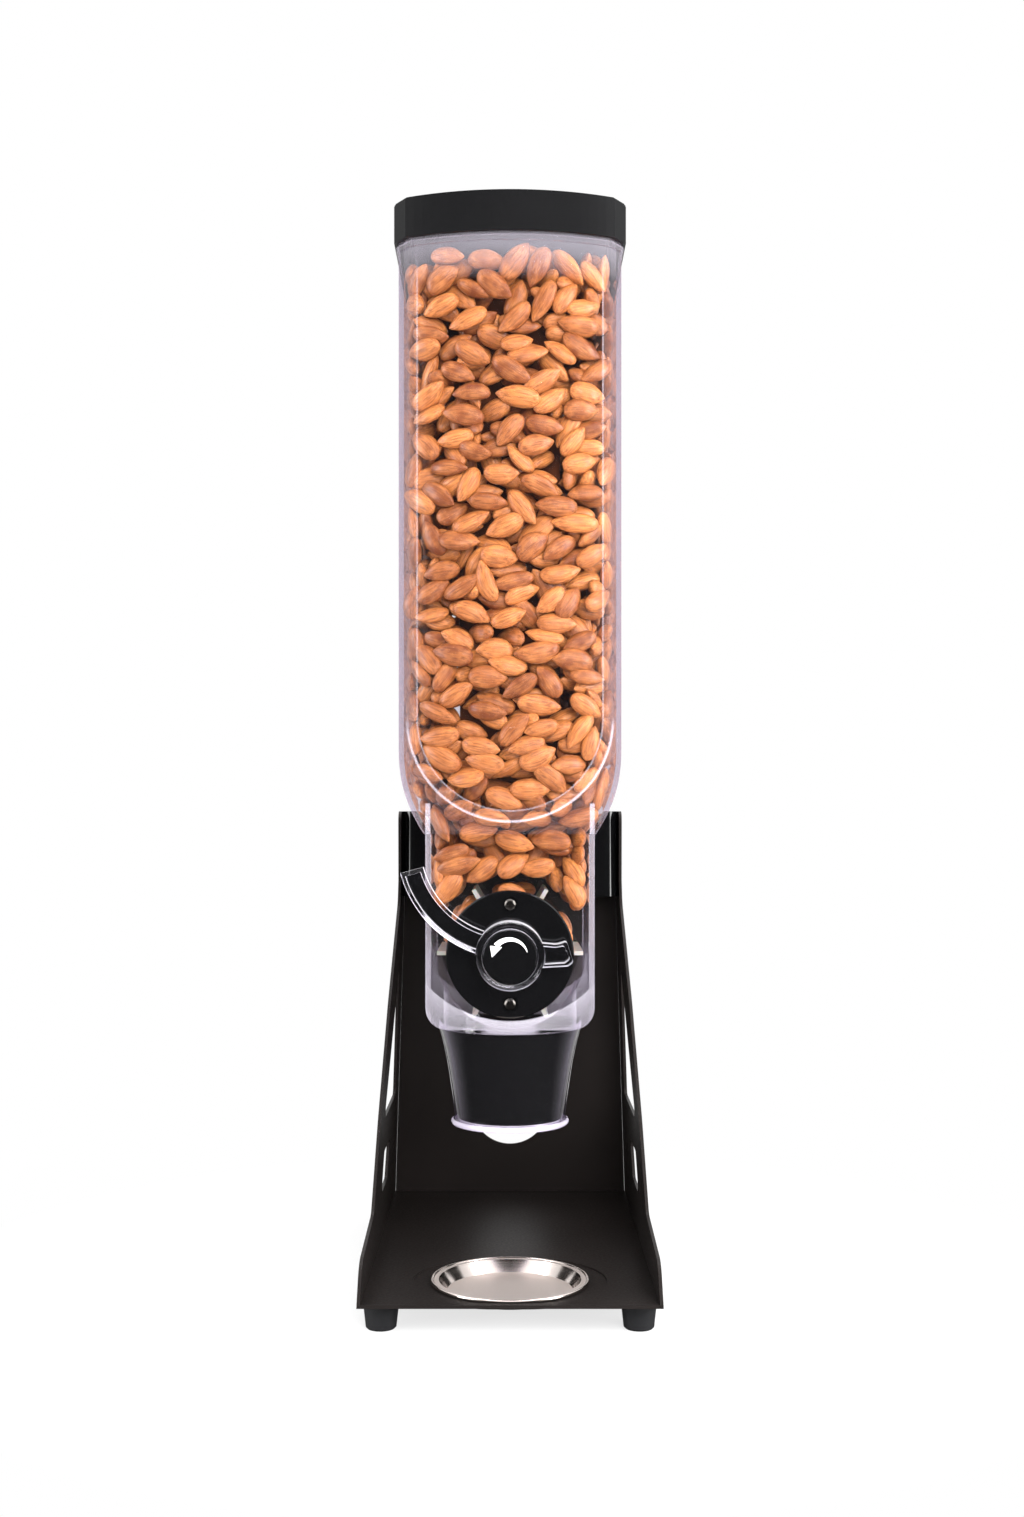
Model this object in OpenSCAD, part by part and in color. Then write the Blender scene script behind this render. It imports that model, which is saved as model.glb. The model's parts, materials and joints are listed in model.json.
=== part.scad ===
// Gravity bulk food bin: a clear hopper over a hand-turned portion wheel, on a sheet-metal stand.
// X runs to the right, +Y to the back, +Z up. The origin is the middle of the footprint, on the floor.
// Depths are given as "reach": millimetres in front of the back panel's rear face.

/* [Stand] */
// Outside width of the stand at the base plate
stand_w = 180; // [170:1:190]
// Outside width of the stand above the bend of the side panels
stand_top_w = 165; // [162:0.5:169]
// Reach of the base plate's front edge
stand_d = 299; // [290:1:306]
// Height of the side and back panels above the base plate
panel_h = 291; // [284:1:300]
// Height above the base plate where the leaning side panels turn upright
panel_bend_h = 240; // [232:1:252]
// Depth of the side panels' upper strip
panel_strip_d = 50; // [46:1:56]
// Height of the low front rail of the side panels
panel_rail_h = 32; // [26:1:38]
// Thickness of the steel sheet
sheet_t = 2; // [1.5:0.1:2.5]
// Width of the steel left round the side panels' windows
window_frame = 36; // [30:1:38]
// Radius of the round hole in the back panel
back_hole_r = 29; // [20:1:34]
// Height of the round hole's centre above the base plate
back_hole_h = 65; // [56:1:80]

/* [Feet] */
// Height of a rubber foot
foot_h = 17; // [14:0.5:22]
// Radius of a foot where it meets the base plate
foot_top_r = 11; // [9:0.5:13]
// Radius of a foot on the floor
foot_bottom_r = 9; // [7:0.5:11]
// Distance of a foot's centre in from the sides of the stand
foot_inset_x = 13; // [12:0.5:18]
// Distance of a foot's centre in from the front and back edges
foot_inset_y = 20; // [14:1:30]
// Radius of the welded stud that holds a foot
stud_r = 3; // [2:0.5:4]

/* [Tray] */
// Radius of the drip tray over its rolled rim
tray_r = 49.25; // [44:0.25:52]
// Radius of the drip tray's flat floor
tray_floor_r = 39.4; // [34:0.2:41]
// Depth of the drip tray from rim to floor
tray_depth = 8.4; // [6:0.2:12]
// Thickness of the tray's sheet
tray_t = 0.8; // [0.6:0.1:1.2]
// Distance from the tray's centre to the base plate's front edge
tray_inset = 54; // [52:1:66]
// Radius of the tray's rolled rim
rim_r = 1.2; // [0.9:0.1:1.6]
// Width of the pressed recess round the tray, with finger room on each side
recess_w = 120; // [108:1:130]
// Depth of the pressed recess
recess_depth = 1.2; // [0.8:0.1:1.6]
// Width of the ledge that carries the tray's rim
ledge_w = 3.4; // [2.6:0.2:5]

/* [Hopper] */
// Half width of the hopper
hopper_half_w = 66; // [64:0.5:68]
// Distance that the hopper's bowed front stands in front of the wheel housing
hopper_overhang = 19; // [16:0.5:21]
// Reach of the hopper's back wall
hopper_back = 53; // [48:1:70]
// Radius of the bowed front panel, seen from above
front_bow_r = 150; // [140:1:170]
// Distance from the middle to the crease of the front panel
crease_x = 59; // [56:0.5:61]
// Setback of the hopper's side corner behind its front
corner_setback = 22; // [20:0.5:25]
// Wall thickness of the clear plastic
wall = 3; // [2:0.25:3.5]
// Height of the hopper's rim above the base plate
hopper_top_h = 644; // [600:1:660]
// Height of the centre of the front panel's round end
round_end_h = 338; // [334:1:346]
// Height above the base plate where the hopper's shoulders begin
shoulder_h = 325; // [318:1:334]
// Radius of the shoulders
shoulder_r = 87; // [80:1:95]
// Height of the hopper's neck, where it joins the wheel housing
neck_h = 276; // [272:1:282]
// Slope of the hopper's rear ramp, in degrees
ramp_angle = 35; // [30:1:42]

/* [Lid] */
// Height of the lid's skirt
lid_h = 23.6; // [20:0.2:28]
// Thickness of the lid
lid_t = 2.2; // [1.6:0.1:3]
// Clearance between the lid's skirt and the hopper
lid_gap = 0.4; // [0.3:0.05:0.8]
// Height of the lid's top above the hopper's rim
lid_rise = 5; // [4.4:0.2:7]

/* [Wheel housing and spout] */
// Half width of the wheel housing
housing_half_w = 50; // [49:0.5:51]
// Reach of the housing's front
housing_front = 290; // [288:0.5:292]
// Reach of the housing's rear
housing_rear = 200; // [198:0.5:204]
// Height of the portion wheel's axis above the base plate
axis_h = 205; // [202:0.5:208]
// Radius of the round collar under the housing
collar_r = 44; // [42:0.5:44.5]
// Length of the collar below the housing's round bottom
collar_drop = 0.5; // [0.5:0.5:4]
// Height of the spout's lower edge
spout_h = 97; // [92:1:104]
// Radius of the spout just above its lip
spout_r = 33.5; // [30:0.5:37]
// Wall thickness of the spout's clear shell
shell_t = 2; // [1.5:0.1:2.4]
// Wall thickness of the spout's black liner
liner_t = 1.8; // [1.4:0.1:2.2]

/* [Portion wheel] */
// Number of vanes
vane_count = 6; // [4:1:8]
// Radius over the vane tips
vane_tip_r = 43.5; // [40:0.5:45.5]
// Gap between the vane tips and the housing's round bottom
vane_tip_gap = 1; // [0.6:0.1:1.2]
// Thickness of a vane
vane_t = 2.4; // [1.6:0.2:3.2]
// Radius of the wheel's hub
hub_r = 12; // [10:0.5:15]
// Radius of the drive shaft
shaft_r = 5; // [4:0.25:6]
// Radial running clearance of the drive shaft in its bushes
running_gap = 0.05; // [0.02:0.01:0.1]

/* [Handle] */
// Radius of the black face disc
disc_r = 37.75; // [36:0.25:39]
// Thickness of the face disc
disc_t = 3; // [2.6:0.1:3.6]
// Distance of the disc's screws from the axis
disc_screw_r = 29.4; // [27:0.2:31]
// Radius of the handle's hub ring
ring_r = 20.3; // [19:0.1:22]
// Distance from the wheel housing's front to the handle's front
handle_stand_off = 24.5; // [23.5:0.25:27]
// Radius of the black cap in the hub
cap_r = 16; // [14:0.25:16.5]
// Thickness of the lever along the axis
lever_t = 9; // [6:0.5:9.5]
// Inner radius of the curved lever
lever_in_r = 53.5; // [52:0.5:55]
// Outer radius of the curved lever
lever_out_r = 67; // [65:0.5:68]
// Wall thickness of the channel-shaped lever
lever_wall = 2.2; // [1.6:0.1:3]

/* [Hidden] */
$fn = 96;
SMALL_FN = 32;
EPS = 0.01;          // overlap that makes a cut clean
seat_gap = 0.3;      // gap between separate bodies that seat on each other
weld_gap = 0.1;      // gap at a welded or pressed seam
FAR = 400;           // longer than the whole object, for half-space cuts

// Places shared by several sub-parts
hopper_front = housing_front + hopper_overhang;
handle_front = housing_front + handle_stand_off;
screw_head_h = 2.4;
y_mid = (handle_front - screw_head_h) / 2;      // the screws at the back stand out by their heads
floor_z = foot_h + sheet_t;                     // top of the base plate
side_lean = atan((stand_w - stand_top_w) / 2 / (panel_bend_h + sheet_t));
back_w = stand_top_w - 2 * sheet_t;             // room between the side panels' upper strips
axis_z = floor_z + axis_h;
disc_front = housing_front + disc_t;
housing_mid = (housing_front + housing_rear) / 2;
housing_wall = wall;
ramp_top_h = neck_h + (housing_rear - hopper_back) * tan(ramp_angle);
tray_reach = stand_d - tray_inset;
tray_gap = 0.6;                                 // gap round the tray in its recess
cutout_r = tray_r - ledge_w;
tray_wall_r = cutout_r - 0.8;                   // the dish passes the cut-out with this to spare
lid_bottom_h = hopper_top_h + lid_rise - lid_h;
trough_r = vane_tip_r + vane_tip_gap + housing_wall;    // round bottom of the housing, about the wheel's axis
collar_h = axis_h - trough_r - collar_drop;     // height of the collar's lower edge
wheel_gap = 4;                                  // end gap between vanes and housing
vane_rear = housing_rear + housing_wall + wheel_gap;
vane_front = housing_front - housing_wall - wheel_gap;
shaft_rear = housing_rear + 1;
handle_rear = disc_front + seat_gap;
cap_t = 5.8;
cap_recess = 6.5;                               // depth of the hub's recess for the cap
shaft_front = handle_front - cap_recess - 4;
cradle_h0 = 228;                                // heights of the cradle above the base plate
cradle_front = housing_rear - 6;
cradle_bar_d = 44;                              // depth of the cradle's cross bar
arm_half_w = 40;                                // half width of the cradle's arm
rib_x = 26;                                     // distance of the hopper's two standing ribs from the middle
rib_t = 3;
rib_slot_depth = 7;
rib_rear = hopper_back + 12;
rib_low_h = panel_h - rib_slot_depth + seat_gap;
rib_front = housing_rear - (rib_low_h - neck_h) / tan(ramp_angle);    // where the ramp meets the ribs' lower edge
rib_root = 1.5;                                 // how far the ribs run into the ramp's wall

function fwd(reach) = y_mid - reach;            // y of a place given by its reach
function up(h) = floor_z + h;                   // z of a height above the base plate
function unit(v) = v / norm(v);
function arc(centre, r, a0, a1, steps = 24) =
    [for (i = [0 : steps]) let (a = a0 + (a1 - a0) * i / steps) centre + r * [cos(a), sin(a)]];
function reversed(list) = [for (i = [len(list) - 1 : -1 : 0]) list[i]];
function mirrored(list) = [for (p = reversed(list)) [-p[0], p[1]]];

// The arc that rounds one corner of an outline, as points
function corner_arc(before, at, after, r, steps = 6) =
    let (
        a = unit(before - at),
        b = unit(after - at),
        half = acos(a * b) / 2,
        centre = at + unit(a + b) * r / sin(half),
        start = at + a * r / tan(half) - centre,
        end = at + b * r / tan(half) - centre,
        a0 = atan2(start[1], start[0]),
        turn = (atan2(end[1], end[0]) - a0 + 540) % 360 - 180
    )
    r < EPS ? [at] : arc(centre, r, a0, a0 + turn, steps);

// An outline of [x, y, corner radius] entries with its corners rounded
function rounded(list) = [
    for (i = [0 : len(list) - 1])
        let (
            n = len(list),
            p = list[(i + n - 1) % n],
            q = list[i],
            s = list[(i + 1) % n]
        )
        each corner_arc([p[0], p[1]], [q[0], q[1]], [s[0], s[1]], q[2])
];

// Extrudes an (x, z) outline from one reach forward to another
module frontal(from, to) {
    translate([0, fwd(from), 0])
        rotate([90, 0, 0])
            linear_extrude(to - from)
                children();
}

// Extrudes a (y, z) outline across the width
module lateral(from, to) {
    translate([from, 0, 0])
        rotate([90, 0, 90])
            linear_extrude(to - from)
                children();
}

// A round bar along the wheel's axis, from one reach forward to another
module axial(r, from, to, r2 = -1, fn = $fn) {
    translate([0, fwd(from), axis_z])
        rotate([90, 0, 0])
            cylinder(h = to - from, r1 = r, r2 = r2 < 0 ? r : r2, $fn = fn);
}

// ---------------------------------------------------------------- stand

// Outline of the pressed recess round the tray
module recess_outline(grow) {
    r = tray_r + tray_gap + grow;
    side = recess_w / 2 - tray_r - tray_gap;
    for (x = [-side, side])
        translate([x, fwd(tray_reach)])
            circle(r = r);
    translate([-side, fwd(tray_reach) - r])
        square([2 * side, 2 * r]);
}

module foot_places() {
    for (x = [-1, 1], reach = [foot_inset_y, stand_d - foot_inset_y])
        translate([x * (stand_w / 2 - foot_inset_x), fwd(reach), 0])
            children();
}

module base_plate() {
    half = stand_w / 2 - sheet_t - weld_gap;
    color("#1b1a1a")
        difference() {
            union() {
                translate([-half, fwd(stand_d), foot_h])
                    cube([2 * half, stand_d - sheet_t - weld_gap, sheet_t]);
                translate([0, 0, foot_h - recess_depth])
                    linear_extrude(recess_depth + EPS)
                        recess_outline(sheet_t * 0.6);
            }
            translate([0, 0, floor_z - recess_depth])
                linear_extrude(recess_depth + 1)
                    recess_outline(0);
            translate([0, fwd(tray_reach), 0])
                cylinder(h = floor_z, r = cutout_r);
        }
}

module back_panel() {
    color("#1b1a1a")
        difference() {
            half_low = stand_w / 2 - sheet_t - 2 * weld_gap;
            half_top = back_w / 2 - weld_gap;
            frontal(0, sheet_t)
                polygon([
                    [-half_low, foot_h], [half_low, foot_h], [half_top, up(panel_bend_h)],
                    [half_top, up(panel_h)], [-half_top, up(panel_h)], [-half_top, up(panel_bend_h)]
                ]);
            translate([0, fwd(-1), up(back_hole_h)])
                rotate([90, 0, 0])
                    cylinder(h = sheet_t + 2, r = back_hole_r);
            cradle_screw_places()
                cylinder(h = 30, r = cradle_screw_r + 0.2, center = true, $fn = SMALL_FN);
        }
}

// The outline of a side panel as (y, z) points, rail and nose at the front
module side_outline() {
    polygon(rounded([
        [fwd(0), foot_h, 0],
        [fwd(0), up(panel_h), 4],
        [fwd(panel_strip_d), up(panel_h), 8],
        [fwd(panel_strip_d - 2), up(0.77 * panel_h), 14],
        [fwd(0.395 * stand_d), up(0.54 * panel_h), 60],
        [fwd(0.592 * stand_d), up(0.296 * panel_h), 60],
        [fwd(0.706 * stand_d), up(panel_rail_h), 10],
        [fwd(stand_d - 8), up(0.72 * panel_rail_h), 14],
        [fwd(stand_d), up(0), 1],
        [fwd(stand_d), foot_h, 0]
    ]));
}

// A tall triangular window and, below it, a slanting slot
module side_windows() {
    window_low = up(0.275 * panel_h);
    slot_high = up(0.196 * panel_h);
    slot_low = up(0.107 * panel_h);
    slot_lean = 0.05 * stand_d;
    slot_rear = 0.281 * stand_d;
    slot_front = 0.448 * stand_d;
    polygon(rounded([
        [fwd(window_frame), up(0.605 * panel_h), 4],
        [fwd(window_frame), window_low, 5],
        [fwd(0.475 * stand_d), window_low, 5]
    ]));
    polygon(rounded([
        [fwd(slot_rear), slot_high, 5],
        [fwd(slot_front), slot_high, 5],
        [fwd(slot_front + slot_lean), slot_low, 5],
        [fwd(slot_rear + slot_lean), slot_low, 5]
    ]));
}

// One side panel: it leans in up to the bend and stands upright above it
module side_panel(side) {
    color("#1b1a1a")
        mirror([side < 0 ? 1 : 0, 0, 0])
            difference() {
                union() {
                    intersection() {
                        translate([stand_w / 2, 0, foot_h])
                            rotate([0, -side_lean, 0])
                                translate([0, 0, -foot_h])
                                    lateral(-sheet_t, 0)
                                        side_outline();
                        translate([0, -FAR / 2, foot_h])
                            cube([FAR, FAR, up(panel_bend_h) - foot_h]);
                    }
                    intersection() {
                        lateral(stand_top_w / 2 - sheet_t, stand_top_w / 2)
                            side_outline();
                        translate([0, -FAR / 2, up(panel_bend_h) - EPS])
                            cube([FAR, FAR, FAR]);
                    }
                }
                lateral(stand_top_w / 2 - 10, stand_w / 2 + 10)
                    side_windows();
            }
}

module side_panel_left() {
    side_panel(-1);
}

module side_panel_right() {
    side_panel(1);
}

stud_len = foot_h - 5;

module feet() {
    color("#2b2b2c")
        foot_places()
            difference() {
                union() {
                    translate([0, 0, 1])
                        cylinder(h = foot_h - 1, r1 = foot_bottom_r + 0.2, r2 = foot_top_r);
                    cylinder(h = 1 + EPS, r1 = foot_bottom_r - 0.8, r2 = foot_bottom_r + 0.2);
                }
                translate([0, 0, foot_h - stud_len - 0.5])
                    cylinder(h = stud_len + 1, r = stud_r + running_gap, $fn = SMALL_FN);
            }
}

module foot_studs() {
    color("silver")
        foot_places()
            translate([0, 0, foot_h - stud_len])
                cylinder(h = stud_len, r = stud_r, $fn = SMALL_FN);
}

// ---------------------------------------------------------------- cradle

cradle_screw_r = 2;
cradle_screw_head_r = 3.8;
cradle_screw_x = back_w / 2 - 18.5;
cradle_screw_inset = 14;                        // from the cradle's lower and upper edges
cradle_screw_len = 16;
cradle_wall = 5;
cradle_skin = 6;                                // thickness above the hollows and in front of them
cradle_rear_skin = 18;                          // solid rear of the cross bar, which takes the screws
arm_nose = 14;                                  // solid front of the arm

// Puts children at each cradle screw, their +Z pointing forward
module cradle_screw_places() {
    for (x = [-1, 1], h = [cradle_h0 + cradle_screw_inset, panel_h - cradle_screw_inset])
        translate([x * cradle_screw_x, fwd(0), up(h)])
            rotate([90, 0, 0])
                children();
}

module hopper_cradle() {
    half = back_w / 2 - seat_gap;
    hollow_h = panel_h - cradle_h0 - rib_slot_depth - cradle_skin;
    round_r = 10;
    rear = sheet_t + weld_gap;
    front = rear + cradle_bar_d;
    color("#0c0c0d")
        difference() {
            union() {
                // cross bar between the side panels, with rounded front edges
                translate([-half, fwd(front - round_r), up(cradle_h0)])
                    cube([2 * half, cradle_bar_d - round_r, panel_h - cradle_h0]);
                translate([-half + round_r, fwd(front), up(cradle_h0)])
                    cube([2 * (half - round_r), round_r + EPS, panel_h - cradle_h0]);
                for (x = [-1, 1])
                    translate([x * (half - round_r), fwd(front - round_r), up(cradle_h0)])
                        cylinder(h = panel_h - cradle_h0, r = round_r);
                // arm that reaches forward under the hopper
                lateral(-arm_half_w, arm_half_w)
                    polygon(rounded([
                        [fwd(front - 1), up(cradle_h0), 0],
                        [fwd(front - 1), up(panel_h), 0],
                        [fwd(cradle_front), up(panel_h), 0],
                        [fwd(cradle_front), up(neck_h - 8), 6],
                        [fwd(front + 30), up(cradle_h0), 20]
                    ]));
            }
            // room above the ramp of the hopper
            lateral(-FAR / 2, FAR / 2)
                polygon([
                    [fwd(housing_rear), up(neck_h) - ramp_clear],
                    [fwd(hopper_back), up(ramp_top_h) - ramp_clear],
                    [fwd(hopper_back), up(ramp_top_h) + 20],
                    [fwd(housing_rear), up(ramp_top_h) + 20]
                ]);
            // slots that locate the hopper's two ribs
            for (x = [-1, 1])
                translate([x * rib_x - rib_t / 2 - seat_gap, fwd(FAR), up(panel_h) - rib_slot_depth])
                    cube([rib_t + 2 * seat_gap, FAR - rib_rear + seat_gap, rib_slot_depth + 1]);
            // hollows under the cross bar and the arm
            translate([-half + cradle_wall, fwd(front - cradle_skin), up(cradle_h0) - 1])
                cube([2 * (half - cradle_wall), cradle_bar_d - cradle_skin - cradle_rear_skin, hollow_h + 1]);
            translate([cradle_wall - arm_half_w, fwd(cradle_front - arm_nose), up(cradle_h0) - 1])
                cube([2 * (arm_half_w - cradle_wall), cradle_front - arm_nose - front, hollow_h + 1]);
            // screw holes
            cradle_screw_places()
                cylinder(h = cradle_screw_len + sheet_t + 1, r = cradle_screw_r + 0.1, $fn = SMALL_FN);
        }
}

ramp_clear = seat_gap / cos(ramp_angle);

module cross_slot(depth, size) {
    for (turn = [0, 90])
        rotate([0, 0, turn])
            translate([0, 0, depth / 2])
                cube([size, size / 4.5, depth + EPS], center = true);
}

// A pan-head screw with a cross recess: head at z < 0, shank along +Z
module pan_screw(shank_r, shank_len, head_r, head_h) {
    difference() {
        union() {
            translate([0, 0, -EPS])
                cylinder(h = shank_len, r = shank_r, $fn = SMALL_FN);
            translate([0, 0, -head_h * 0.55])
                cylinder(h = head_h * 0.55, r = head_r, $fn = SMALL_FN);
            translate([0, 0, -head_h])
                cylinder(h = head_h * 0.45 + EPS, r1 = head_r * 0.7, r2 = head_r, $fn = SMALL_FN);
        }
        translate([0, 0, -head_h - EPS])
            cross_slot(head_h * 0.6, head_r * 1.15);
    }
}

module cradle_screws() {
    color("dimgray")
        cradle_screw_places()
            pan_screw(cradle_screw_r, cradle_screw_len + sheet_t, cradle_screw_head_r, screw_head_h);
}

// ---------------------------------------------------------------- tray

// A shallow stainless dish that hangs in the recess by its rolled rim
module tray() {
    rim_z = floor_z - recess_depth + seat_gap + rim_r;
    floor_low = rim_z + rim_r - tray_depth;
    color("silver")
        translate([0, fwd(tray_reach), 0])
            rotate_extrude() {
                translate([tray_r - rim_r, rim_z])
                    circle(r = rim_r, $fn = SMALL_FN);
                polygon([
                    [0, floor_low],
                    [tray_floor_r, floor_low],
                    [tray_wall_r, rim_z - 0.2],
                    [tray_r - rim_r, rim_z - 0.2],
                    [tray_r - rim_r, rim_z - 0.2 + tray_t],
                    [tray_wall_r - 1, rim_z - 0.2 + tray_t],
                    [tray_floor_r - 0.5, floor_low + tray_t],
                    [0, floor_low + tray_t]
                ]);
            }
}

// ---------------------------------------------------------------- hopper

bow_centre = hopper_front - front_bow_r;
function bow_reach(x, inset) = bow_centre + sqrt(pow(front_bow_r - inset, 2) - x * x);

// Right half of the front outline seen from above, as [x, reach], from the middle to the side
function bow_half(inset) = let (edge = crease_x - 0.9 * inset) [
    for (i = [0 : 12]) [edge * i / 12, bow_reach(edge * i / 12, inset)],
    [hopper_half_w - inset, hopper_front - corner_setback - 0.45 * inset]
];

back_corner_r = 14;

// The whole outline seen from above, in x and y
module plan_outline(inset) {
    half = hopper_half_w - inset;
    r = back_corner_r - inset;
    right = concat(
        bow_half(inset),
        arc([half - r, hopper_back + inset + r], r, 0, -90, 8)
    );
    points = concat(right, mirrored(right));
    polygon([for (p = points) [p[0], fwd(p[1])]]);
}

// The outline seen from the front, with its shoulders, down to a height above the base plate
module shoulder_outline(inset, low_h) {
    r = shoulder_r - inset;
    centre = [hopper_half_w - shoulder_r, up(shoulder_h)];
    right = arc(centre, r, -asin((shoulder_h - low_h) / r), 0, 16);
    side = concat(right, [[hopper_half_w - inset, up(round_end_h + 20)]]);
    polygon(concat(side, mirrored(side)));
}

// The hopper's outer form, shrunk by an inset, from a low height to a top height
module hopper_form(inset, low_h, top_h) {
    intersection() {
        union() {
            translate([0, 0, up(round_end_h)])
                linear_extrude(top_h - round_end_h)
                    plan_outline(inset);
            // round lower end of the bowed front panel
            translate([0, y_mid, up(round_end_h)])
                rotate([90, 0, 0])
                    rotate_extrude()
                        polygon(concat(
                            [[0, housing_front - 30], [0, bow_reach(0, inset)]],
                            bow_half(inset),
                            [[hopper_half_w - inset, housing_front - 30]]
                        ));
            // shoulders and neck behind it
            intersection() {
                frontal(hopper_back + inset, housing_front - inset)
                    shoulder_outline(inset, low_h);
                translate([0, 0, up(low_h)])
                    linear_extrude(round_end_h + 10 - low_h)
                        plan_outline(inset);
            }
        }
        ramp_space(inset, low_h, top_h);
    }
}

// All that lies in front of and above the rear ramp
module ramp_space(inset, low_h, top_h) {
    shift = inset / cos(ramp_angle);
    rear = housing_rear + inset;
    knee = neck_h + shift - inset * tan(ramp_angle);
    rise = (rear - hopper_back) * tan(ramp_angle);
    lateral(-FAR / 2, FAR / 2)
        polygon([
            [fwd(FAR), up(low_h)], [fwd(rear), up(low_h)], [fwd(rear), up(knee)],
            [fwd(hopper_back), up(knee + rise)], [fwd(hopper_back), up(top_h)], [fwd(FAR), up(top_h)]
        ]);
}

module hopper() {
    color("#d8d4e6", 0.35)
        difference() {
            union() {
                hopper_form(0, neck_h, hopper_top_h);
                // bead just under the lid
                translate([0, 0, up(lid_bottom_h - 5)])
                    linear_extrude(3)
                        plan_outline(-1.2);
                // standing ribs that carry the hopper on the cradle
                for (x = [-1, 1])
                    lateral(x * rib_x - rib_t / 2, x * rib_x + rib_t / 2)
                        polygon([
                            [fwd(rib_rear), up(rib_low_h)],
                            [fwd(rib_front), up(rib_low_h)],
                            [fwd(rib_front), up(rib_low_h + rib_root)],
                            [fwd(rib_rear), up(rib_low_h + rib_root) + (rib_front - rib_rear) * tan(ramp_angle)]
                        ]);
            }
            hopper_form(wall, neck_h - 1, hopper_top_h + 1);
        }
}

// ---------------------------------------------------------------- lid

edge_step = 0.9;

module lid() {
    grow = lid_gap + lid_t;
    z0 = up(lid_bottom_h);
    color("#1f1f20")
        difference() {
            union() {
                translate([0, 0, z0])
                    linear_extrude(lid_h - 2 * edge_step)
                        plan_outline(-grow);
                translate([0, 0, z0 + lid_h - 2 * edge_step])
                    linear_extrude(edge_step)
                        plan_outline(edge_step * 0.35 - grow);
                translate([0, 0, z0 + lid_h - edge_step])
                    linear_extrude(edge_step)
                        plan_outline(edge_step - grow);
            }
            translate([0, 0, z0 - 1])
                linear_extrude(1 + lid_h - lid_t)
                    plan_outline(-lid_gap);
        }
}

seal_t = up(lid_bottom_h) + lid_h - lid_t - up(hopper_top_h) - seat_gap;

// Soft ring under the lid's top that sits on the hopper's rim
module lid_seal() {
    top = up(lid_bottom_h) + lid_h - lid_t;
    color("#3a3a3c")
        translate([0, 0, top - seal_t])
            linear_extrude(seal_t)
                difference() {
                    plan_outline(0);
                    plan_outline(wall + 1.5);
                }
}

// ---------------------------------------------------------------- wheel housing

housing_floor_h = axis_h - 45;                  // lower edge of the housing's square body
housing_corner_r = 13;
collar_top_h = axis_h - 20;                     // the collar runs up into the round bottom
edge_rib_h = 18;                                // height of the side edges above the neck
edge_rib_t = 1.6;                               // how far they stand in front of the housing
edge_rib_root = 6;

module housing_outline() {
    polygon(rounded([
        [-housing_half_w, up(housing_floor_h), housing_corner_r],
        [housing_half_w, up(housing_floor_h), housing_corner_r],
        [housing_half_w, up(neck_h), 0],
        [-housing_half_w, up(neck_h), 0]
    ]));
}

// The throat above the wheel, the round bottom about the wheel and the collar, shrunk by an inset
module housing_room(inset, low, top) {
    translate([inset - housing_half_w, fwd(housing_front - inset), axis_z])
        cube([2 * (housing_half_w - inset), housing_front - housing_rear - 2 * inset, top - axis_z]);
    axial(trough_r - inset, housing_rear + inset, housing_front - inset);
    translate([0, fwd(housing_mid), low])
        cylinder(h = up(collar_top_h) - low, r = collar_r - inset);
}

front_bush_r = 11;
rear_bush_r = 9;

module wheel_housing() {
    color("#d8d4e6", 0.35)
        difference() {
            union() {
                frontal(housing_rear, housing_front)
                    housing_outline();
                housing_room(0, up(collar_h), up(neck_h));
                // side edges that run on up the hopper's neck
                for (x = [-housing_half_w, housing_half_w - housing_wall])
                    translate([x, fwd(housing_front + edge_rib_t), up(neck_h - edge_rib_root)]) {
                        cube([housing_wall, edge_rib_t - weld_gap, edge_rib_root + edge_rib_h]);
                        cube([housing_wall, edge_rib_t + EPS, edge_rib_root]);
                    }
            }
            housing_room(housing_wall, up(collar_h) - 1, up(neck_h) + 1);
            axial(front_bush_r + weld_gap, housing_front - 6, housing_front + 6);
            axial(rear_bush_r + weld_gap, housing_rear - 6, housing_rear + 6);
            for (x = [-1, 1])
                translate([0, 0, x * disc_screw_r])
                    axial(disc_screw_shank_r + weld_gap, housing_front - 6, housing_front + 6, fn = SMALL_FN);
        }
}

disc_screw_shank_r = 1.75;
disc_screw_head_r = 3.3;
disc_screw_head_h = 1.8;
disc_counterbore = 1.2;

module face_disc() {
    color("#0c0c0d")
        difference() {
            union() {
                axial(disc_r, housing_front + weld_gap, disc_front - 0.8);
                axial(disc_r, disc_front - 0.8, disc_front, r2 = disc_r - 0.8);
            }
            axial(front_bush_r + weld_gap, housing_front - 1, disc_front + 1);
            for (x = [-1, 1])
                translate([0, 0, x * disc_screw_r]) {
                    axial(disc_screw_shank_r + weld_gap, housing_front - 1, disc_front + 1, fn = SMALL_FN);
                    axial(disc_screw_head_r + 1.4, disc_front - disc_counterbore, disc_front + 1);
                }
        }
}

module disc_screws() {
    color("#303030")
        for (x = [-1, 1])
            translate([0, fwd(disc_front - disc_counterbore), axis_z + x * disc_screw_r])
                rotate([-90, 0, 0])
                    pan_screw(disc_screw_shank_r, disc_t - disc_counterbore + housing_wall,
                              disc_screw_head_r, disc_screw_head_h);
}

module front_bush() {
    color("#e9e6dc")
        difference() {
            union() {
                axial(front_bush_r, housing_front - housing_wall - 1.5, disc_front - weld_gap);
                axial(front_bush_r + 3, housing_front - housing_wall - 1.5,
                      housing_front - housing_wall - weld_gap);
            }
            axial(shaft_r + running_gap, housing_front - 10, disc_front + 1);
        }
}

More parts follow.
